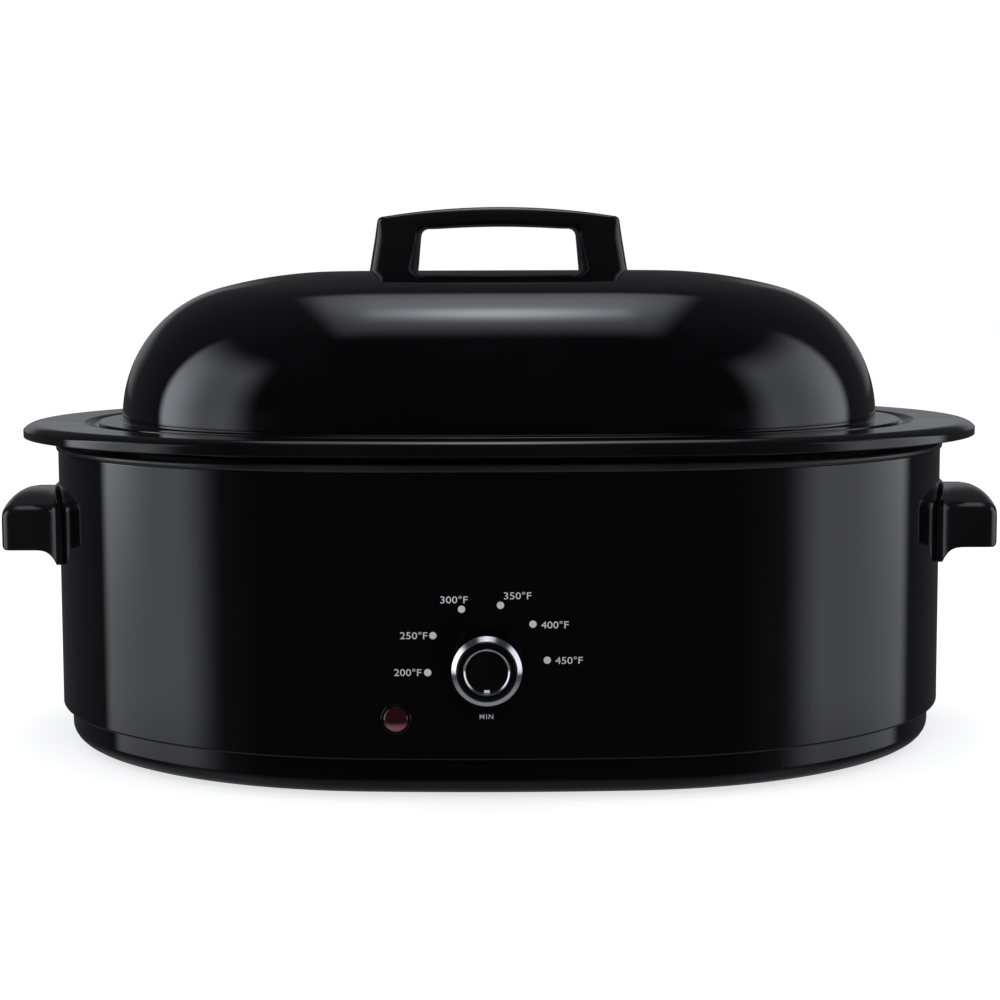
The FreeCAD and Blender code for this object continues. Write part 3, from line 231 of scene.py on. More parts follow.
class Wire:
    # one value in a shader's tree; arithmetic on it adds Math nodes
    def __init__(self, tree, socket=None):
        self.tree, self.socket = tree, socket

    # any node: its type without ShaderNode, its settings, then the values or links of its sockets; n1 is the
    # socket numbered 1, and a colour has three values
    def node(self, kind, settings=None, out=0, **sockets):
        made = self.tree.nodes.new("ShaderNode" + kind)
        for key, value in (settings or {}).items():
            setattr(made, key, value)
        for key, value in sockets.items():
            numbered = key[0] == "n" and key[1:].isdigit()
            target = made.inputs[int(key[1:]) if numbered else key.replace("_", " ")]
            if isinstance(value, Wire):
                self.tree.links.new(value.socket, target)
            else:
                target.default_value = (*value, 1.0) if target.type == "RGBA" else value
        return Wire(self.tree, made.outputs[out])

    # noise over this place
    def noise(self, scale, detail, rough=0.5, stretch=None):
        place = self.node("Mapping", Vector=self, Scale=stretch) if stretch else self
        return self.node("TexNoise", Vector=place, Scale=scale, Detail=detail, Roughness=rough)

    def maths(self, operation, *values):
        numbered = {f"n{k}": value for k, value in enumerate(values)}
        return self.node("Math", {"operation": operation}, **numbered)

    def __add__(self, other):
        return self.maths("ADD", self, other)

    def __sub__(self, other):
        return self.maths("SUBTRACT", self, other)

    def __rsub__(self, other):
        return self.maths("SUBTRACT", other, self)

    def __mul__(self, other):
        return self.maths("MULTIPLY", self, other)

    def __truediv__(self, other):
        return self.maths("DIVIDE", self, other)

    def __neg__(self):
        return self * -1.0

    # 0 below low and 1 above high, with a smooth step between
    def step(self, low, high):
        return self.node("MapRange", {"interpolation_type": "SMOOTHSTEP"},
                         Value=self, From_Min=low, From_Max=high)

    # a mix of two colours by this value; the colours are sockets 6 and 7
    def mix(self, first, second):
        return self.node("Mix", {"data_type": "RGBA"}, out=2, n0=self, n6=first, n7=second)

    # ends a tree with this value as its surface
    def shine(self, kind):
        output = self.tree.nodes.new("ShaderNodeOutput" + kind)
        self.tree.links.new(self.socket, output.inputs["Surface"])


# the tree of a material or a world, cleared
def emptyTree(owner):
    owner.use_nodes = True
    owner.node_tree.nodes.clear()
    return Wire(owner.node_tree)


# A finish: its fixed numbers go straight on the shader; its pattern returns what varies.
# pattern(place) gives a dict with colour, rough and height.
def finish(name, pattern, bump=0.2, reach=0.0002, **fixed):
    material = bpy.data.materials.new(name)
    material.use_nodes = True
    tree = material.node_tree
    shader = tree.nodes["Principled BSDF"]
    for key, value in fixed.items():
        shader.inputs[key.replace("_", " ")].default_value = value
    start = Wire(tree)
    varied = pattern(start.node("TexCoord", out="Object"))
    bumped = start.node("Bump", Strength=bump, Distance=reach, Height=varied["height"])
    links = {"Base Color": varied["colour"], "Roughness": varied["rough"], "Normal": bumped}
    for socket, value in links.items():
        tree.links.new(value.socket, shader.inputs[socket])
    return material


# Baked enamel: an even dark coat whose surface rolls a little, with a faint change of gloss.
def enamel(dark, light, roughLow, roughHigh, peel=420.0):
    def pattern(place):
        cloud = place.noise(14.0, 3.0)
        roll = place.noise(peel, 1.0)
        fine = place.noise(peel * 6, 2.0)
        return {
            "colour": cloud.step(0.3, 0.7).mix(dark, light),
            "rough": cloud.step(0.35, 0.7) * (roughHigh - roughLow) + roughLow + (fine - 0.5) * 0.015,
            "height": roll + fine * 0.06,
        }
    return pattern


# Moulded plastic: a fine pebble, with slow changes of gloss as flow marks leave.
def moulded(dark, light, roughLow, roughHigh, grain=1900.0):
    def pattern(place):
        cloud = place.noise(30.0, 3.0)
        pebble = place.noise(grain, 3.0, 0.6)
        return {
            "colour": cloud.step(0.3, 0.7).mix(dark, light),
            "rough": cloud.step(0.3, 0.7) * (roughHigh - roughLow) + roughLow + (pebble - 0.5) * 0.04,
            "height": pebble,
        }
    return pattern


# Rolled or drawn metal: long thin streaks along one direction, and a slow stain.
def drawn(dark, light, roughLow, roughHigh, stretch=(1.0, 1.0, 30.0), grain=700.0):
    def pattern(place):
        streak = place.noise(grain, 4.0, 0.65, stretch)
        stain = place.noise(18.0, 4.0, 0.6)
        return {
            "colour": (streak * 0.5 + stain * 0.5).step(0.3, 0.7).mix(dark, light),
            "rough": streak * (roughHigh - roughLow) + roughLow + (stain - 0.5) * 0.1,
            "height": streak,
        }
    return pattern


# Zinc plate: flat crystals of slightly different shade.
def spangled(dark, light, roughLow, roughHigh, cell=260.0):
    def pattern(place):
        flakes = place.node("TexVoronoi", out=1, Vector=place, Scale=cell)
        shade = place.node("SeparateColor", Color=flakes)
        fine = place.noise(cell * 8, 2.0)
        return {
            "colour": (shade * 0.7 + fine * 0.3).mix(dark, light),
            "rough": shade * (roughHigh - roughLow) + roughLow,
            "height": shade * 0.3 + fine,
        }
    return pattern


# Bright plate: almost a mirror, with polishing haze.
def plated(dark, light, roughLow, roughHigh):
    def pattern(place):
        haze = place.noise(160.0, 4.0, 0.6)
        fine = place.noise(2600.0, 2.0)
        return {
            "colour": haze.mix(dark, light),
            "rough": haze.step(0.4, 0.75) * (roughHigh - roughLow) + roughLow,
            "height": fine,
        }
    return pattern


# Felt or braid: crossed fibres from two stretched noises, with tufts.
def fibrous(dark, light, weave=900.0):
    def pattern(place):
        lengthwise = place.noise(weave, 4.0, 0.7, (1.0, 1.0, 9.0))
        across = place.noise(weave, 4.0, 0.7, (9.0, 9.0, 1.0))
        tuft = place.noise(60.0, 5.0, 0.6)
        fibre = lengthwise.maths("MAXIMUM", lengthwise, across)
        return {
            "colour": (fibre * 0.6 + tuft * 0.5).step(0.3, 0.8).mix(dark, light),
            "rough": fibre * 0.15 + 0.8,
            "height": fibre + tuft * 2.0,
        }
    return pattern


bodyEnamel = finish("bodyEnamel", enamel((0.0016, 0.0015, 0.0017), (0.0023, 0.0022, 0.0024), 0.03, 0.06),
                    bump=0.05, reach=0.00004)
lidEnamel = finish("lidEnamel", enamel((0.0017, 0.0016, 0.0019), (0.0025, 0.0024, 0.0027), 0.04, 0.075, 340.0),
                   bump=0.06, reach=0.00005)
wellEnamel = finish("wellEnamel", enamel((0.0032, 0.0031, 0.0033), (0.005, 0.0048, 0.005), 0.07, 0.14, 300.0),
                    bump=0.1, reach=0.00006)
coatedSteel = finish("coatedSteel", enamel((0.012, 0.012, 0.013), (0.02, 0.02, 0.021), 0.25, 0.4, 500.0),
                     reach=0.0001)
gripPhenolic = finish("gripPhenolic", moulded((0.006, 0.006, 0.0063), (0.009, 0.009, 0.0094), 0.2, 0.28),
                      bump=0.12, reach=0.00003)
sidePhenolic = finish("sidePhenolic", moulded((0.006, 0.006, 0.0063), (0.009, 0.009, 0.0094), 0.11, 0.16),
                      bump=0.08, reach=0.00003)
knobPhenolic = finish("knobPhenolic", moulded((0.002, 0.002, 0.0022), (0.003, 0.003, 0.0032), 0.08, 0.13),
                      bump=0.06, reach=0.00002)
brownPhenolic = finish("brownPhenolic", moulded((0.09, 0.045, 0.02), (0.14, 0.07, 0.035), 0.4, 0.6, 1200.0),
                       bump=0.3)
blackNylon = finish("blackNylon", moulded((0.012, 0.012, 0.012), (0.02, 0.02, 0.021), 0.42, 0.55, 1400.0),
                    bump=0.3)
whiteNylon = finish("whiteNylon", moulded((0.66, 0.65, 0.6), (0.76, 0.75, 0.71), 0.4, 0.55, 1400.0))
footRubber = finish("footRubber", moulded((0.018, 0.018, 0.018), (0.032, 0.032, 0.031), 0.75, 0.9, 1100.0),
                    bump=0.5)
silicone = finish("silicone", moulded((0.5, 0.5, 0.5), (0.62, 0.62, 0.61), 0.55, 0.7, 900.0))
ceramic = finish("ceramic", moulded((0.78, 0.76, 0.7), (0.86, 0.85, 0.8), 0.55, 0.75, 700.0), bump=0.4)
zincSteel = finish("zincSteel", spangled((0.5, 0.51, 0.52), (0.7, 0.7, 0.7), 0.28, 0.42),
                   bump=0.1, Metallic=1.0)
aluminium = finish("aluminium", drawn((0.72, 0.72, 0.73), (0.86, 0.86, 0.86), 0.22, 0.4, (30.0, 1.0, 1.0)),
                   bump=0.12, Metallic=1.0)
bandSteel = finish("bandSteel", drawn((0.36, 0.29, 0.22), (0.56, 0.53, 0.49), 0.3, 0.5), Metallic=1.0)
brass = finish("brass", drawn((0.66, 0.47, 0.18), (0.82, 0.64, 0.3), 0.22, 0.38), bump=0.12, Metallic=1.0)
chrome = finish("chrome", plated((0.7, 0.71, 0.73), (0.78, 0.78, 0.8), 0.16, 0.22),
                bump=0.03, reach=0.00002, Metallic=1.0)
rackChrome = finish("rackChrome", plated((0.62, 0.62, 0.63), (0.74, 0.74, 0.75), 0.08, 0.18),
                    bump=0.08, Metallic=1.0)
glassFibre = finish("glassFibre", fibrous((0.52, 0.48, 0.34), (0.82, 0.78, 0.62)), bump=0.8, reach=0.0012)
leadBraid = finish("leadBraid", fibrous((0.5, 0.5, 0.47), (0.76, 0.76, 0.73), 2400.0), bump=0.6, reach=0.0003)
# pale ink for the dial's print; the chrome pointer wears it too, as a painted sheen that stands for its bright
# reflection
inkAndPaintedSheen = finish("inkAndPaintedSheen", moulded((0.72, 0.72, 0.72), (0.82, 0.82, 0.82), 0.45, 0.6, 2200.0),
                 bump=0.1, reach=0.00002)
lampGlass = finish("lampGlass", plated((0.9, 0.66, 0.5), (0.95, 0.75, 0.6), 0.03, 0.08),
                   bump=0.02, Transmission_Weight=0.8)
print("finishes made")


# Each piece has one dict of its measures in millimetres. A profile lists its corners, then their radii.
housing = {"seam": 21.6, "top": 169.7, "thick": 1.0, "hem": 5.3}
h = housing
profile = rounded([
    (0, h["seam"]), (0, h["top"]), (h["thick"], h["top"]),
    (h["thick"], h["seam"] + h["thick"]), (h["hem"], h["seam"] + h["thick"]), (h["hem"], h["seam"]),
], (0.9, 0.4, 0.4, 0.5, 0.3, 0.3), steps=5)
wall = gridPiece("housingWall", ovalRings(profile), closed=True)
mount(wall, "housing", bodyEnamel, "body_enamel", "outer_wrap")

# flat: the inset from where a floor is drawn in to its middle
base = {"inset": 5.3, "top": 33.6, "low": 2.0, "corner": 9.0, "thick": 1.2, "foot": 22.3, "floor": 8.0,
        "flat": 60}
b = base
t = b["thick"]
rim = rounded([
    (b["flat"], b["floor"] + t), (b["foot"] - t, b["floor"] + t), (b["foot"] - t, b["low"] + t),
    (b["inset"] + t, b["low"] + t), (b["inset"] + t, b["top"]), (b["inset"], b["top"]),
    (b["inset"], b["low"]), (b["foot"], b["low"]), (b["foot"], b["floor"]), (b["flat"], b["floor"]),
], (0, 1.2, 0.4, b["corner"] - t, 0.3, 0.3, b["corner"], 0.8, 0.5, 0), closed=False, steps=7)
mount(ovalVessel("baseRing", rim), "housing", bodyEnamel, "body_enamel", "base_pan")

liner = {"inset": 31.0, "thick": 1.0, "floor": 25.0, "corner": 12.0, "seat": 25.0, "seatTop": 183.1,
         "flange": 173.7, "bead": 2.0, "reach": 1.2, "flat": 60}
n = liner
t, r = n["thick"], n["bead"]
rim = rounded([
    (n["flat"], n["floor"] + t), (n["inset"] + t, n["floor"] + t), (n["inset"] + t, n["seatTop"]),
    (n["seat"], n["seatTop"]), (n["seat"], n["flange"]), (-n["reach"], n["flange"]),
    (-n["reach"], h["top"]), (r, h["top"]), (r, n["flange"] - t), (n["seat"] + t, n["flange"] - t),
    (n["seat"] + t, n["seatTop"] - t), (n["inset"], n["seatTop"] - t), (n["inset"], n["floor"]),
    (n["flat"], n["floor"]),
], (0, n["corner"] - t, 0.6, 0.8, 0.8, r, r - 0.1, 0.3, 0.3, 0.3, 0.3, 0.3, n["corner"], 0),
    closed=False, steps=5)
mount(ovalVessel("linerShell", rim), "housing", coatedSteel, "coated_steel", "inner_liner")

# Loose felt between the liner and the wall: a rounded slab round the oval whose lower edge rises over two gaps,
# each with its first x, its last x and its height. Its thickness has slow waves: wave * (sin(23 a) + sin(41 a +
# 1.3)) / 2 over the normal's angle a.
felt = {"inner": 29.1, "outer": 14.1, "middle": 20, "low": 36.0, "high": 165.7, "wave": 0.7, "waves": (23, 41),
        "shift": 1.3, "frontGap": (-81.0, 30.0, 111.0), "rearGap": (-45.0, 45.0, 112.0)}
f = felt
# the slab's section: share of the way in, and share of the height
slab = np.array([
    (0.0, 0.0), (0.0, 0.06), (0.0, 0.25), (0.0, 0.5), (0.0, 0.75), (0.0, 0.94), (0.15, 0.985), (0.4, 1.0),
    (0.6, 1.0), (0.85, 0.985), (1.0, 0.94), (1.0, 0.75), (1.0, 0.5), (1.0, 0.25), (1.0, 0.06), (0.85, 0.015),
    (0.6, 0.0), (0.4, 0.0), (0.15, 0.015)])
x, y = bodyOval.ring(f["middle"], around)
lowEdge = np.full(len(around), f["low"])
for side, (gapFrom, gapTo, gapTop) in ((-1, f["frontGap"]), (1, f["rearGap"])):
    lowEdge[(y * side > 0) & (x > gapFrom) & (x < gapTo)] = gapTop
ripple = f["wave"] * (np.sin(around * f["waves"][0]) + np.sin(around * f["waves"][1] + f["shift"])) * 0.5
thick = f["inner"] - f["outer"] - 2 * f["wave"]
inset = f["outer"] + f["wave"] + slab[:, :1] * thick + ripple[None] * np.sin(slab[:, 1:] * math.pi)
x, y = bodyOval.ring(inset, around[None])
z = lowEdge[None] + slab[:, 1:] * (f["high"] - lowEdge[None])
blanket = gridPiece("insulationFelt", np.stack([x, y, z], -1), closed=True)
mount(blanket, "housing", glassFibre, "glass_fibre", "insulation_blanket")
print("housing made")


well = {"wall": 40.0, "thick": 1.2, "floor": 37.0, "corner": 16.0, "under": 183.1, "top": 184.3,
        "lipLow": 177.7, "roll": 5.2, "rise": 1.5, "riseFrom": 21.5, "riseTo": 15.0, "riseLag": 0.2,
        "flatIn": 71.2, "flatOut": 71.0}
w = well
t, wall, outTo, outFrom = w["thick"], w["wall"], w["riseTo"] + w["riseLag"], w["riseFrom"] + w["riseLag"]
# the lip steps up a little outside the lid's flange
lipTop, lipUnder = w["top"] + w["rise"], w["under"] + w["rise"]
rows = rounded([
    (w["flatIn"], w["floor"] + t, 0), (wall + t, w["floor"] + t, 0), (wall + t, w["top"], 0),
    (w["riseFrom"], w["top"], 0), (w["riseTo"], lipTop, 0), (0, lipTop, 1), (0, w["lipLow"], 1),
    (t, w["lipLow"], 1), (t, lipUnder, 1), (outTo, lipUnder, 0), (outFrom, w["under"], 0),
    (wall, w["under"], 0), (wall, w["floor"], 0), (w["flatOut"], w["floor"], 0),
], (0, w["corner"] - t, 1.4, 3.0, 3.0, w["roll"], 0.5, 0.5, w["roll"] - t, 3.0, 3.0, 0.5, w["corner"], 0),
    closed=False, steps=6)
mount(ovalVessel("roastingWell", rows), "cookwell", wellEnamel, "well_enamel", "cookwell")
print("cookwell made")


lid = {"inset": 37.5, "thick": 1.2, "flange": 14.0, "low": 184.3, "flangeThick": 1.6, "base": 188.0,
       "lap": 0.02, "reach": 130.0, "side": 78.0, "crown": 274.6, "top": 273.0, "keyInset": 42.0,
       "keyLow": 180.3}
d = lid
crownInset = d["inset"] + d["reach"]
crownBase = d["top"] - d["crown"]
sideInset = d["inset"] + d["side"]
# the profile is two arcs that meet where their normals agree
meet = math.atan2(d["base"] - crownBase, crownInset - sideInset)


def domeRows(inward, count=26):
    over = np.linspace(math.pi / 2, meet, count)
    side = np.linspace(meet, 0, count)
    crown, flank = d["crown"] - inward, d["side"] - inward
    first = np.stack([crownInset - crown * np.cos(over), crownBase + crown * np.sin(over)], -1)
    second = np.stack([sideInset - flank * np.cos(side), d["base"] + flank * np.sin(side)], -1)
    return np.concatenate([first, second[1:]])


t, flangeTop, joint = d["thick"], d["low"] + d["flangeThick"], d["base"] - d["lap"]
flangeEdge = d["inset"] - d["flange"]
skirt = rounded([
    (d["inset"], joint), (d["inset"], flangeTop), (flangeEdge, flangeTop), (flangeEdge, d["low"]),
    (d["keyInset"], d["low"]), (d["keyInset"], d["keyLow"]), (d["keyInset"] + t, d["keyLow"]),
    (d["keyInset"] + t, flangeTop), (d["inset"] + t, flangeTop), (d["inset"] + t, joint),
], (0, 0.9, 0.75, 0.75, 0.5, 0.5, 0.5, 0.4, 0.4, 0), closed=False, steps=5, margin=0.3)
rows = np.concatenate([domeRows(0), skirt, domeRows(t)[::-1]])
mount(ovalVessel("lidDome", rows), "lid", lidEnamel, "lid_enamel", "lid_shell")

# The grip is a bridge: a section carried from foot to foot between an outer and an inner outline.
# bar: where the legs' round starts to change to the crossbar's, and over what height. footOver: the same for
# the draft, from the feet up. outerBend and innerBend: from what length to what length an outline bends.
grip = {"foot": 76.3, "top": 71.0, "low": 273.0, "shoulder": 304.4, "crown": 310.25, "gap": 46.5,
        "gapTop": 297.2, "arch": 1.8, "corner": 7.5, "half": 18.0, "shoulderRound": 3.2, "legRound": 8.5,
        "barRound": 4.6, "draftFoot": 5.8, "draftBar": 2.6, "bar": (287, 12), "footOver": 24,
        "outerBend": (26.5, 36.5), "innerBend": (16.0, 30.5)}
g = grip
bow = (g["top"] ** 2 + (g["crown"] - g["shoulder"]) ** 2) / (2 * (g["crown"] - g["shoulder"]))
across = np.linspace(-g["top"], g["top"], 61)
crest = np.stack([across, g["crown"] - bow + np.sqrt(bow ** 2 - across ** 2)], -1)
leftShoulder = rounded([(-g["foot"], g["low"]), crest[0], crest[6]], (0, g["shoulderRound"], 0),
                       closed=False, steps=8)[:-1]
outer = np.concatenate([leftShoulder, crest[6:-6], leftShoulder[::-1] * [-1, 1]])
under = np.linspace(-g["gap"] + g["corner"], g["gap"] - g["corner"], 41)
arch = np.stack([under, g["gapTop"] + g["arch"] * np.cos(under / g["gap"] * math.pi / 2)], -1)
leftCorner = rounded([(-g["gap"] - 1.2, g["low"]), (-g["gap"] + 1.0, arch[0, 1]), arch[1]],
                     (0, g["corner"], 0), closed=False, steps=10)[:-1]
inner = np.concatenate([leftCorner, arch[1:-1], leftCorner[::-1] * [-1, 1]])


# Points along an outline that is the same from either end, closer together where it bends.
def bridgeSpots(path, bendFrom, bendTo, counts=(12, 18, 26)):
    run = np.concatenate([[0], np.cumsum(np.linalg.norm(np.diff(path, axis=0), axis=1))])
    bendLow, bendHigh = bendFrom / run[-1], bendTo / run[-1]
    first = np.concatenate([
        np.linspace(0, bendLow, counts[0], endpoint=False),
        np.linspace(bendLow, bendHigh, counts[1], endpoint=False),
        np.linspace(bendHigh, 0.5, counts[2]),
    ])
    spots = np.concatenate([first, 1 - first[-2::-1]]) * run[-1]
    return np.stack([np.interp(spots, run, path[:, k]) for k in range(2)], -1)


outerSpots, innerSpots = bridgeSpots(outer, *g["outerBend"]), bridgeSpots(inner, *g["innerBend"])
middle, reachOut = (outerSpots + innerSpots) / 2, (outerSpots - innerSpots) / 2
halfWide = np.linalg.norm(reachOut, axis=1, keepdims=True)
direction = reachOut / halfWide
# 1 on the crossbar, 0 at the feet
barShare = np.clip((middle[:, 1:2] - g["bar"][0]) / g["bar"][1], 0, 1)
barShare = barShare * barShare * (3 - 2 * barShare)
roundOut = g["legRound"] + (g["barRound"] - g["legRound"]) * barShare
footShare = np.clip((middle[:, 1:2] - g["low"]) / g["footOver"], 0, 1)
draft = g["draftFoot"] + (g["draftBar"] - g["draftFoot"]) * footShare
# Half the section, from the outer middle to the inner middle. Each row holds shares: sideways those of the half
# width, the round and the draft, in depth those of the half depth and the round, and then millimetres outwards.
section = [(1, 0, 0, 0, 0, 0)]
section += [(1, math.cos(a) - 1, 0, 1, math.sin(a) - 1, 0) for a in np.linspace(0, math.pi / 2, 9)]
section += [(0.2, 0, 0, 1, 0, 0), (-1, 0, 1, 1, 0, 0.9), (-1, 0, 0.97, 0.985, 0, 0.35),
            (-1, 0, 0.9, 0.95, 0, 0), (-1, 0, 0.45, 0.5, 0, 0), (-1, 0, 0.1, 0.1, 0, 0), (-1, 0, 0, 0, 0, 0)]
wideShare, roundShare, draftShare, depthShare, roundDepth, outwards = np.array(section).T[:, None]
sideWay = wideShare * halfWide + roundShare * roundOut + draftShare * draft + outwards
depth = depthShare * g["half"] + roundDepth * roundOut
sideWay = np.concatenate([sideWay, sideWay[:, -2:0:-1]], 1)
depth = np.concatenate([-depth, depth[:, -2:0:-1]], 1)
points = np.stack([
    middle[:, :1] + direction[:, :1] * sideWay,
    depth,
    middle[:, 1:] + direction[:, 1:] * sideWay,
], -1)
points[0, :, 2] = points[-1, :, 2] = g["low"]
mount(gridPiece("lidGrip", points, sharp=75), "lid", gripPhenolic, "black_phenolic", "lid_handle")
print("lid made")


# A thick bar with round corners, carried outwards from the wall in rings that are rounded rectangles.
# Its top is crowned from end to end, its root spreads like a bell where it meets its plate, and a hollow is
# cut into it from below. bowFrom is where its outer edge begins to bow, by the sag at its ends.
sideGrip = {"tip": 290.95, "half": 61.95, "low": 113.3, "high": 144.6, "shoulder": 9.5, "lowEdge": 3.0,
            "topEdge": 6.0, "crown": 6.5, "corner": 7.0, "sag": 4.4, "bowFrom": 262, "bell": 1.0,
            "bellEnd": 0.62, "bellDown": 8.0, "bellUp": 1.0, "bellSide": 3.5, "shell": 3.5, "slot": 47.0,
            "plate": 2.6, "plateAngle": 17.9, "plateLow": 103.6, "plateTall": 45.4, "plateSquare": (0.5, 0.7)}
s = sideGrip
# the hollow in the same terms
hollow = {**s, "tip": s["tip"] - s["shell"], "half": s["slot"], "low": s["low"] - 20,
          "high": s["high"] - s["shell"], "shoulder": s["shoulder"] - s["shell"], "lowEdge": 0.5,
          "topEdge": 1.5, "corner": 3.0, "bell": 0.0}


# A rounded rectangle in depth and height: half depth, low, high and two corner radii, as points of one ring.
def softRectangle(half, low, high, topRound, lowRound=1.0):
    turn = np.linspace(0, math.pi / 2, 9)
    start, rise = 1 - np.cos(turn), 1 - np.sin(turn)
    topArc = np.stack([topRound * start - half, high - topRound * rise], -1)
    lowArc = np.stack([half - lowRound * start, low + lowRound * rise], -1)
    arcs = [topArc, topArc[::-1] * [-1, 1], lowArc, lowArc[::-1] * [-1, 1]]
    points = []
    for arc, following, between in zip(arcs, arcs[1:] + arcs[:1], (23, 7, 23, 7)):
        points += [arc, np.linspace(arc[-1], following[0], between + 2)[1:-1]]
    return np.concatenate(points)


# Rings of a grip from inside the wall to the tip: they follow the wall first and flatten to upright planes.
# At the tip a ring's height and depth follow the round corners: radius * (1 - sqrt(1 - share ** 2)).
def gripRings(form):
    low, high, corner, tip = (form[key] for key in ("low", "high", "corner", "tip"))
    # how far each ring on the arc lies behind the wall, and its share of the way to the first plane
    behind = np.array([-0.6, 0.6, 1.6] + [2.6] * 10)[:, None]
    away = np.array([0, 0, 0, 0, 0.03, 0.07, 0.12, 0.18, 0.25, 0.33, 0.42, 0.55, 0.75])
    ends = corner * np.sin(np.linspace(0.05, math.pi / 2, 16))
    planes = np.concatenate([[tip - corner - 5.5, tip - corner - 2.5], tip - corner + ends])

    def drop(x, radius):
        share = np.clip((x - tip + radius) / radius, 0, 1)
        return radius * (1 - np.sqrt(1 - share ** 2))

    rings = np.array([
        softRectangle(form["half"] - drop(x, corner), low + drop(x, form["lowEdge"]),
                      high - drop(x, form["shoulder"]), form["topEdge"])
        for x in [0.0] * len(away) + list(planes)
    ])
    y, height = rings[:, :, 0], rings[:, :, 1]
    endShare = (y / s["half"]) ** 2
    bow = s["sag"] * (planes - s["bowFrom"])[:, None] / (tip - s["bowFrom"])
    onArc = bodyOval.endCentre + np.sqrt((bodyOval.endRadius + behind) ** 2 - y[:len(away)] ** 2)
    onArc = onArc + (planes[0] - bow[0] * endShare[:len(away)] - onArc) * away[:, None]
    upright = planes[:, None] - bow * endShare[len(away):]
    share = np.concatenate([away, np.ones(len(planes))])
    spread = (form["bell"] * np.clip(1 - share / s["bellEnd"], 0, 1) ** 3)[:, None]
    middle = (low + high) / 2
    up = (height - middle) / (high - middle)
    z = height + spread * up * np.where(up > 0, s["bellUp"], s["bellDown"])
    z = z - s["crown"] * endShare * np.clip(up, 0, 1)
    x = np.concatenate([onArc, upright])
    return np.stack([x, y * (1 + spread * s["bellSide"] / form["half"]), z], -1)


# The mesh that an object has with its modifiers, or that a text makes.
def finalMesh(piece):
    bpy.context.view_layer.update()
    return bpy.data.meshes.new_from_object(piece.evaluated_get(bpy.context.evaluated_depsgraph_get()))


# The part of one mesh that another leaves, with the cutter removed.
def carved(piece, cutter):
    cut = piece.modifiers.new("hollow", "BOOLEAN")
    cut.operation, cut.object, cut.solver = "DIFFERENCE", cutter, "EXACT"
    result = finalMesh(piece)
    piece.modifiers.clear()
    piece.data = result
    bpy.data.objects.remove(cutter)
    result.set_sharp_from_angle(angle=math.radians(40))
    return piece


# A ring's cosines and sines, each drawn towards a square by a power under 1.
def squareRing(count, powers):
    waves = zip((np.cos(circle(count)), np.sin(circle(count))), powers)
    return [np.sign(wave) * np.abs(wave) ** power for wave, power in waves]


# The plate behind the grip: rounded rectangles that shrink to the middle, laid on the wall's arc,
# with a soft outer edge.
def gripPlate(name, end):
    edgeU, edgeV = squareRing(160, s["plateSquare"])
    shares = np.array([0.2, 0.4, 0.6, 0.8, 0.93, 0.965, 0.985, 0.996, 1.0, 1.0])[:, None]
    rise = s["plate"] * np.array([1.0, 1.0, 1.0, 1.0, 1.0, 0.97, 0.9, 0.76, 0.5, 0.02])[:, None]
    theta = edgeU * shares * math.radians(s["plateAngle"])
    radius = bodyOval.endRadius + rise
    points = np.stack([
        end * (bodyOval.endCentre + radius * np.cos(theta)),
        radius * np.sin(theta),
        s["plateLow"] + s["plateTall"] / 2 * (1 + edgeV * shares),
    ], -1)
    return gridPiece(name, points, sharp=70)


def makeSideGrip(end, name, node):
    block, slot = (gripRings(form) * [end, 1, 1] for form in (sideGrip, hollow))
    bar = carved(gridPiece(name + "Grip", block, sharp=40),
                 gridPiece(name + "Hollow", slot))
    piece = joined(name, [bar, gripPlate(name + "Plate", end)])
    mount(piece, "housing", sidePhenolic, "black_phenolic", node)


makeSideGrip(-1, "sideGripLeft", "side_handle_left")
makeSideGrip(1, "sideGripRight", "side_handle_right")
print("side handles made")


dial = {"x": -6.5, "z": 71.5, "wall": -205.0, "gap": 1.0, "core": 6, "skirt": 17.8, "skirtWidth": 2.8,
        "skirtDepth": 3.2, "slopeIn": 0.45, "slopeBack": 0.5, "barrel": 17.3, "deep": 23.0, "step": 0.4,
        "dish": 0.35, "inlay": 11.8, "inlayWidth": 1.2, "inlayBack": 0.95, "inlayProud": 0.45,
        "inlayFlat": 0.25, "groove": 1, "play": 0.05, "ringPlay": 0.03, "ringSeat": 0.02}
k = dial
centre, face = (k["x"], k["wall"], k["z"]), k["deep"]
skirtIn, ringFront = k["skirt"] - k["skirtWidth"], face - k["step"]
ringBack, ringIn = ringFront - k["skirtDepth"], skirtIn + k["ringPlay"]
ring = rounded([
    (ringIn, ringBack + k["ringSeat"]), (k["skirt"], ringBack + k["ringSeat"]),
    (k["skirt"], ringBack + k["slopeBack"]), (skirtIn + k["slopeIn"], ringFront), (ringIn, ringFront),
], (0.1, 0.2, 0.3, 0.3, 0.15), steps=4, margin=0.1)
mount(lathe("dialRing", ring, centre, 144, closed=True), "knob", chrome, "chrome", "knob_skirt_ring")
inlayIn = k["inlay"] - k["inlayWidth"]
grooveOut, grooveIn, grooveBack = k["inlay"] + k["play"], inlayIn - k["play"], face - k["groove"]
body = rounded([
    (k["core"], k["gap"]), (k["barrel"], k["gap"]), (k["barrel"], ringBack - k["ringSeat"]),
    (skirtIn, ringBack - k["ringSeat"]), (skirtIn, face), (grooveOut, face - 0.1), (grooveOut, grooveBack),
    (grooveIn, grooveBack), (grooveIn, face - 0.15), (k["core"], face - k["dish"]),
    (2, face - k["dish"] - 0.05),
], (0, 0.6, 0.2, 0.05, 0.7, 0.1, 0.1, 0.1, 0.25, 0.5, 0), closed=False, steps=4, margin=0.15)
mount(lathe("dialKnob", body, centre, 128), "knob", knobPhenolic, "black_knob", "knob_body")
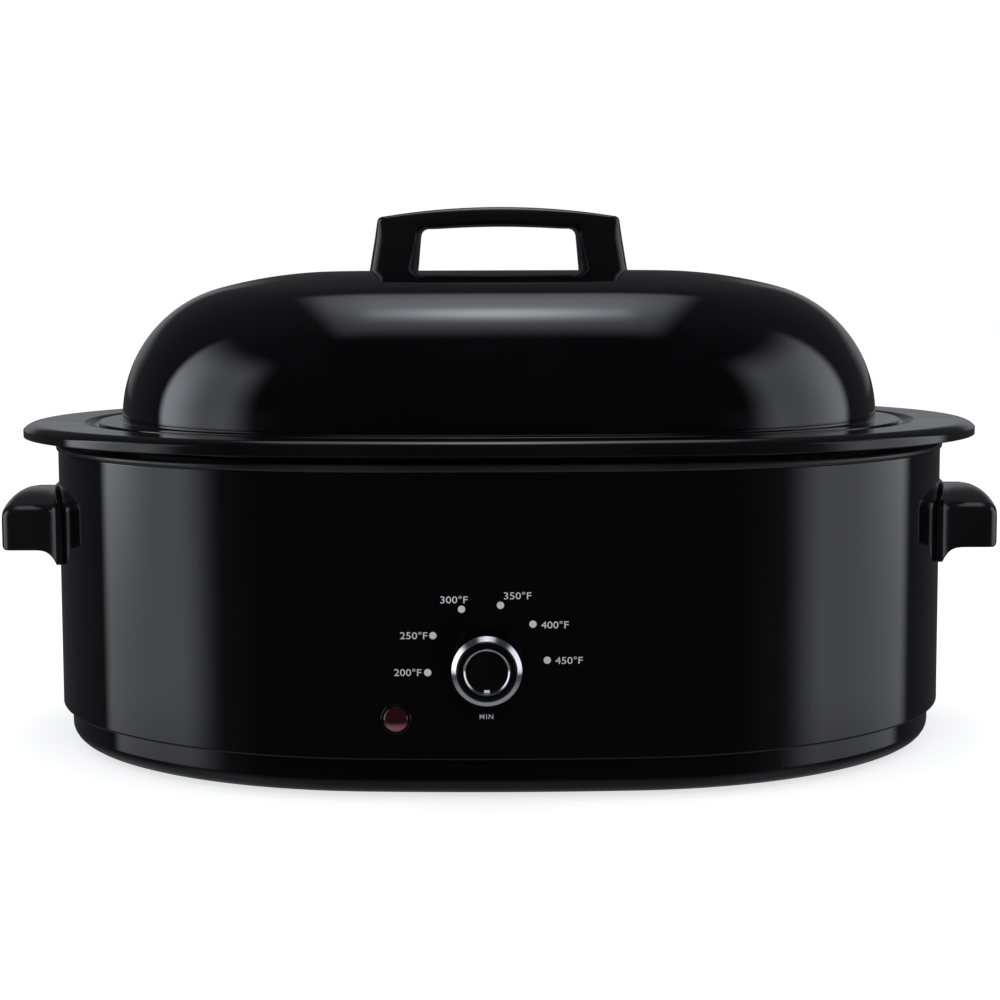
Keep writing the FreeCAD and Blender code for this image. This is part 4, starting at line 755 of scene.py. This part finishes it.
# the inner ring slopes towards the middle
inlay = rounded([
    (inlayIn, face - k["inlayBack"]), (k["inlay"], face - k["inlayBack"]), (k["inlay"], face + k["inlayProud"]),
    (k["inlay"] - k["inlayFlat"], face + k["inlayProud"]), (inlayIn, face - k["dish"]),
], (0.1, 0.1, 0.2, 0.15, 0.1), steps=3, margin=0.05)
mount(lathe("dialInlay", inlay, centre, 144, closed=True), "knob", chrome, "chrome", "knob_inlay_ring")

# the pointer: a small domed bar, from squared rings that shrink as they rise
pointer = {"x": 3.0, "z": 1.4, "from": 61.1, "square": (0.35, 0.35)}
p = pointer
squareX, squareZ = squareRing(32, p["square"])
shrink = np.array([1.0, 1.0, 0.95, 0.8, 0.4])[:, None]
lift = np.array([-0.9, 0.15, 0.38, 0.48, 0.5])[:, None]
points = np.stack([
    k["x"] + squareX * shrink * p["x"] / 2,
    np.broadcast_to(k["wall"] - face - lift, (len(lift), len(squareX))),
    p["from"] + p["z"] / 2 + squareZ * shrink * p["z"] / 2,
], -1)
# the chrome pointer gets the pale ink finish: a painted sheen in place of its reflection
mount(gridPiece("dialPointer", points), "knob", inkAndPaintedSheen, "chrome", "knob_pointer")


# where the front wall stands at x
def wallAt(x):
    return bodyOval.frontCentre - np.sqrt(bodyOval.frontRadius ** 2 - x ** 2)


def pointsOf(mesh):
    flat = np.zeros(len(mesh.vertices) * 3)
    mesh.vertices.foreach_get("co", flat)
    return flat.reshape(-1, 3)


def movePoints(mesh, points):
    mesh.vertices.foreach_set("co", points.ravel())
    mesh.update()


lamp = {"x": -53.3, "z": 43.2, "bezel": 8.2, "height": 1.8, "slope": 0.7, "play": 0.15, "sunk": 0.2,
        "lens": 6.5, "bulge": 3.4, "shoulder": 1.1, "back": 2.0, "paintedGlowEdge": (-4.6, -1.2)}
m = lamp
spot = np.array((m["x"], wallAt(m["x"]), m["z"]))


# turns a piece made at the lamp's place square to the wall there, in its mesh
def squareToWall(piece):
    lean = math.asin(m["x"] / bodyOval.frontRadius)
    c, s = math.cos(lean), math.sin(lean)
    x, y, z = (pointsOf(piece.data) - spot * mm).T
    movePoints(piece.data, spot * mm + np.stack([x * c - y * s, x * s + y * c, z], -1))
    return piece


bezel = rounded([
    (m["lens"] + m["play"], -m["sunk"]), (m["bezel"], -m["sunk"]), (m["bezel"], m["slope"]),
    (m["bezel"] - m["slope"], m["height"]), (m["lens"] + m["play"], m["height"]),
], (0.1, 0.1, 0.5, 0.4, 0.3), steps=4, margin=0.1)
mount(squareToWall(lathe("lampBezel", bezel, spot, closed=True)), "housing", knobPhenolic, "black_knob",
      "indicator_bezel")
rise = np.linspace(0, math.pi / 2 - 0.05, 14)
lensRows = np.concatenate([
    [(2, -m["back"]), (m["lens"] - 0.5, -m["back"]), (m["lens"], 0.4 - m["back"]), (m["lens"], 1.0)],
    np.stack([m["lens"] * np.cos(rise), m["shoulder"] + (m["bulge"] - m["shoulder"]) * np.sin(rise)], -1),
])


# Clear red plastic: dark where the view goes deep, and a painted glow low down: pink colour that stands for
# light coming back from behind it, with fine rings moulded in its back.
def lensRed(place):
    low, high = ((m["z"] + edge) * mm for edge in m["paintedGlowEdge"])
    # painted glow: the lens is coloured pink below these heights, for light that comes back through it
    paintedGlow = 1 - place.node("SeparateXYZ", out="Z", Vector=place).step(low, high)
    cloud = place.noise(600.0, 2.0)
    deep = cloud.mix((0.022, 0.0035, 0.005), (0.034, 0.005, 0.007))
    return {
        "colour": paintedGlow.mix(deep, (0.3, 0.1, 0.11)),
        "rough": cloud * 0.04 + 0.05,
        "height": place.noise(900.0, 1.0),
    }


redLens = finish("redLens", lensRed, bump=0.04, reach=0.00004, Coat_Weight=0.6, Coat_Roughness=0.03)
mount(squareToWall(lathe("lampLens", lensRows, spot)), "housing", redLens, "red_lens", "indicator_lens")

# The dial's print: dots and generic numbers, each a thin skin laid on the wall.
# Each mark: words, centre x and z of the words, and its dot's place or None.
marks = {
    "mark200": ("200°F", -47.1, 67.3, (-36.86, 67.25)),
    "mark250": ("250°F", -43.9, 86.4, (-34.08, 86.36)),
    "mark300": ("300°F", -23.2, 104.9, (-19.39, 99.95)),
    "mark350": ("350°F", 9.2, 106.9, (0.44, 101.97)),
    "mark400": ("400°F", 28.2, 91.8, (16.98, 92.18)),
    "mark450": ("450°F", 35.4, 73.4, (24.25, 73.51)),
    "markLow": ("MIN", -6.9, 44.4, None),
}
# how words are set: cap height, width, letter spacing and boldness
printed = {"numbers": (3.8, 14.0, 1.0, 0), "word": (2.5, 7.0, 1.25, 0.005), "dot": 1.88, "skin": 0.06}
q = printed


def makeWords(name, words, x, z, cap, wide, spacing, bold):
    curve = bpy.data.curves.new(name, "FONT")
    curve.body = words
    curve.resolution_u = 3
    curve.extrude = 0.01
    curve.space_character = spacing
    curve.offset = bold
    text = shown(name + "Flat", curve)
    mesh = finalMesh(text)
    bpy.data.objects.remove(text)
    points = pointsOf(mesh)
    low, high = points.min(0), points.max(0)
    across, up, out = ((points - low) / (high - low)).T
    x = x + (across - 0.5) * wide
    movePoints(mesh, np.stack([x, wallAt(x) - out * q["skin"], z + (up - 0.5) * cap], -1) * mm)
    return shown(name, mesh)


def makeDot(name, x, z):
    rows = np.array([(1.0, 0.0), (1.0, 0.7), (0.96, 1.0), (0.5, 1.0)])
    turn = circle(40)[None]
    x = x + rows[:, :1] * q["dot"] * np.cos(turn)
    z = z + rows[:, :1] * q["dot"] * np.sin(turn)
    return gridPiece(name, np.stack([x, wallAt(x) - rows[:, 1:] * q["skin"], z], -1))


for name, (words, x, z, dot) in marks.items():
    parts = [makeWords(name, words, x, z, *q["numbers" if dot else "word"])]
    if dot:
        parts.append(makeDot(name + "Dot", *dot))
    mount(joined(name, parts), "housing", inkAndPaintedSheen, "chrome")
print("dial, lamp and print made")


gland = {"z": 52.0, "wall": 205.0, "bore": 4.2, "barrel": 7.85, "collar": 12.0, "collarThick": 3.0,
         "collarGap": 0.1, "neck": 8.0, "tip": 6.5, "proud": 18.0, "tail": 10.0}
e = gland
boot = rounded([
    (e["bore"], -e["tail"]), (e["barrel"], -e["tail"]), (e["barrel"], e["collarGap"]),
    (e["collar"], e["collarGap"]), (e["collar"], e["collarThick"]), (e["neck"], e["collarThick"]),
    (e["tip"], e["proud"]), (e["bore"], e["proud"]),
], (0.4, 0.6, 0.2, 0.4, 1.2, 1.6, 1.0, 0.8), steps=5, margin=0.2)
# it points to the back
boot[:, 1] *= -1
mount(lathe("cordGland", boot, (0, e["wall"], e["z"]), closed=True), "housing", blackNylon, "black_nylon",
      "cord_gland")


rack = {"inset": 50.2, "level": 56.2, "wire": 2.5, "bar": 2.0, "bars": 9, "pitch": 34.0, "runner": 68.0,
        "leg": 102.0, "floor": 38.3, "loopAt": 203.7, "span": 92.0, "loopTop": 136.7, "loopCorner": 20.0}
a = rack
x, y = bodyOval.ring(a["inset"], evenAngles(256))
hoop = np.stack([x, y, np.full(len(x), a["level"])], -1)
wires = [gridPiece("rackHoop", wirePoints(hoop, a["wire"], closed=True), closed=True)]
# where the hoop lies in the first quarter, from its end to its back
hoopX, hoopY = hoop[:len(hoop) // 4 + 1, :2].T
barZ = a["level"] - a["wire"] / 2


def addWire(name, start, end, rings=13):
    wires.append(gridPiece(name, wirePoints(np.linspace(start, end, rings), a["bar"])))


for x in (np.arange(a["bars"]) - (a["bars"] - 1) / 2) * a["pitch"]:
    reach = np.interp(abs(x), hoopX[::-1], hoopY[::-1])
    addWire("rackBar", (x, -reach, barZ), (x, reach, barZ))
for y in (-a["runner"], a["runner"]):
    reach = np.interp(a["runner"], hoopY, hoopX)
    addWire("rackRunner", (-reach, y, barZ), (reach, y, barZ))
    for x in (-a["leg"], a["leg"]):
        addWire("rackLeg", (x, y, a["floor"]), (x, y, barZ), rings=9)
mount(joined("roastingRack", wires), "rack", rackChrome, "rack_chrome", "rack_grid")
half, low, top = a["span"] / 2, a["level"] + a["wire"], a["loopTop"]
loop = rounded([(-half, low), (-half, top), (half, top), (half, low)], (0, a["loopCorner"], a["loopCorner"], 0),
               closed=False, steps=12, margin=4.0)
for end, name, node in ((-1, "rackLoopLeft", "rack_loop_left"), (1, "rackLoopRight", "rack_loop_right")):
    path = np.insert(loop, 0, end * a["loopAt"], axis=1)
    mount(gridPiece(name, wirePoints(path, a["wire"])), "rack", rackChrome, "rack_chrome", node)
print("gland and rack made")


# the nodes that keep their CAD shape, by finish
carried = {
    footRubber: ("feet",),
    zincSteel: ("foot_screws", "liner_posts", "band_clamps", "clamp_bolt", "lid_handle_screws",
                "handle_backing_plates", "side_handle_screws", "thermostat_shaft", "thermostat_bracket",
                "fuse_clip"),
    aluminium: ("heat_reflector",),
    bandSteel: ("heating_band",),
    silicone: ("lid_handle_washers",),
    brownPhenolic: ("thermostat_body",),
    brass: ("thermostat_bushing", "sensor_plate", "terminal_screws", "heater_terminals"),
    whiteNylon: ("lamp_holder",),
    blackNylon: ("gland_nut",),
    ceramic: ("terminal_block", "thermal_fuse"),
    leadBraid: ("supply_leads", "heater_leads"),
    lampGlass: ("indicator_lamp",),
}
for material, names in carried.items():
    for name in names:
        for nodeSlot in nodes[name].material_slots:
            nodeSlot.material = material
print("carried nodes dressed:", sum(len(names) for names in carried.values()))


# a white sheet under the part that glows a little to the camera
sheet = {"half": 6, "height": -0.0005, "glow": 0.72, "grey": 0.62}
half, height = sheet["half"], sheet["height"]
corners = [(-half, -half, height), (half, -half, height), (half, half, height), (-half, half, height)]
floorMesh = bpy.data.meshes.new("floor")
floorMesh.from_pydata(corners, [], [(0, 1, 2, 3)])
floor = shown("floor", floorMesh)
floor.visible_glossy = False
paper = bpy.data.materials.new("paper")
start = emptyTree(paper)
seen = start.node("LightPath", out="Is Camera Ray")
glow = start.node("Emission", Color=(1, 1, 1), Strength=seen * sheet["glow"])
plain = start.node("BsdfDiffuse", Color=(sheet["grey"],) * 3)
both = start.node("AddShader", n0=glow, n1=plain)
both.shine("Material")
floorMesh.materials.append(paper)

# The studio, as reflections see it: a soft box at each side with a bright strip, a box overhead with two glows,
# a dim room, a paler patch in front of each side box, a low backdrop and a table. Angles are in degrees:
# azimuth 0 is the front, elevation 0 the horizon. A light comes over its rise and goes over its fall.
studio = {
    "left": {"front": -66, "back": -111, "rise": (-114, -108), "fall": (-75, -57), "level": 1.2, "strip": 1.5},
    "right": {"front": 68, "back": 119, "rise": (59, 77), "fall": (115, 123), "level": 1.1, "strip": 0.6},
    "sideHeight": {"rise": (-16, -10), "fall": (29, 47)}, "sideLoss": 0.3,
    "stripHeight": {"rise": (-10, 0), "fall": (12, 42)}, "stripAcross": (0.35, 0.85),
    "top": {"across": (0.24, 0.38), "rise": (-1.07, -0.83), "fall": (0.04, 0.3), "above": (0.2, 0.3),
            "level": 0.4, "broad": 1.3, "broadAt": (-0.35, 0.25, 0.4), "hot": 4.2, "hotAt": (-0.22, 0.1, 0.12)},
    "room": {"rise": (60, 125), "ahead": 0.02, "behind": 0.05},
    "near": {"rise": (38, 74), "fall": (74, 90), "end": (4, 14), "level": 0.1},
    "backdrop": {"rise": (140, 155), "fall": (169, 173), "level": 0.2},
    "backdropHeight": {"rise": (0, 2.5), "fall": (9, 16)},
    "table": {"end": (-42, -15), "level": 0.2},
    "tint": (0.975, 0.985, 1.075), "fill": 0.5,
}
world = bpy.data.worlds.new("studio")
bpy.context.scene.world = world
start = emptyTree(world)
look = start.node("TexCoord", out="Generated")
lookX, lookY, lookZ = (look.node("SeparateXYZ", out=axis, Vector=look) for axis in "XYZ")
toDegrees = 180 / math.pi
azimuth = lookX.maths("ARCTAN2", lookX, -lookY) * toDegrees
elevation = lookZ.maths("ARCSINE", lookZ) * toDegrees
turned = azimuth.maths("ABSOLUTE", azimuth)


def band(value, light):
    return value.step(*light["rise"]) * (1 - value.step(*light["fall"]))


# A box of light that falls off from its front edge to its back edge, with its strip.
def softBox(box):
    toBack = (azimuth - box["front"]) / (box["back"] - box["front"])
    strip = toBack.step(*studio["stripAcross"]) * band(elevation, studio["stripHeight"])
    return band(azimuth, box) * (toBack * -studio["sideLoss"] + box["level"] + strip * box["strip"])


sides = (softBox(studio["left"]) + softBox(studio["right"])) * band(elevation, studio["sideHeight"])
# places on the plane of the overhead box, as shares of its height: u to the right, v to the front
top = studio["top"]
up = lookZ.maths("MAXIMUM", lookZ, 0.02)
u, v = lookX / up, -lookY / up
panel = (1 - u.maths("ABSOLUTE", u).step(*top["across"])) * band(v, top)


# A soft round glow on the overhead box: its place and half sizes across and along.
def glowAt(place, wideness, length):
    x, y = u / wideness, (v - place) / length
    return u.maths("EXPONENT", -(x * x + y * y))


glows = glowAt(*top["hotAt"]) * top["hot"] + glowAt(*top["broadAt"]) * top["broad"]
overhead = panel * (glows + top["level"]) * lookZ.step(*top["above"])
room = studio["room"]
dim = turned.step(*room["rise"]) * (room["behind"] - room["ahead"]) + room["ahead"]
near = studio["near"]
beside = band(turned, near) * (1 - elevation.step(*near["end"])) * near["level"]
backdrop = band(turned, studio["backdrop"]) * band(elevation, studio["backdropHeight"])
below = (1 - elevation.step(*studio["table"]["end"])) * studio["table"]["level"]
mirror = sides + overhead + dim + beside + backdrop * studio["backdrop"]["level"] + below
fromCamera = start.node("LightPath", out="Is Camera Ray")
fromGloss = start.node("LightPath", out="Is Glossy Ray")
strength = fromCamera + (1 - fromCamera) * (fromGloss * mirror + (1 - fromGloss) * studio["fill"])
shade = fromCamera.mix(studio["tint"], (1, 1, 1))
back = start.node("Background", Color=shade, Strength=strength)
back.shine("World")


# A lamp that neither the camera nor a reflection sees; its tilt is in degrees about X.
def softLamp(name, place, tilt, size, energy):
    light = bpy.data.lights.new(name, "AREA")
    light.shape, light.size, light.size_y = "RECTANGLE", *size
    light.energy = energy
    box = shown(name, light)
    box.location = place
    box.rotation_euler = Euler((math.radians(tilt), 0, 0))
    box.visible_camera = box.visible_glossy = False


softLamp("topBox", (0, 0.1, 1.6), 0, (1.2, 1.2), 9)
softLamp("frontFill", (0, -1.8, 1.2), 56, (1.6, 0.8), 5)

view = {"place": (0.0004, -1.2857, 0.2629), "down": 5.63, "roll": -0.2, "sensor": 36, "lens": 77.14,
        "shiftY": -0.001, "nearest": 0.05}
camera = bpy.data.cameras.new("camera")
camera.sensor_width, camera.lens = view["sensor"], view["lens"]
camera.shift_y, camera.clip_start = view["shiftY"], view["nearest"]
eye = shown("camera", camera)
eye.location = view["place"]
level = Euler((math.radians(90 - view["down"]), 0, 0)).to_matrix()
rolled = level @ Euler((0, 0, math.radians(view["roll"]))).to_matrix()
eye.rotation_euler = rolled.to_euler()
bpy.context.scene.camera = eye
bpy.context.scene.view_settings.view_transform = "Standard"

print("scene made")
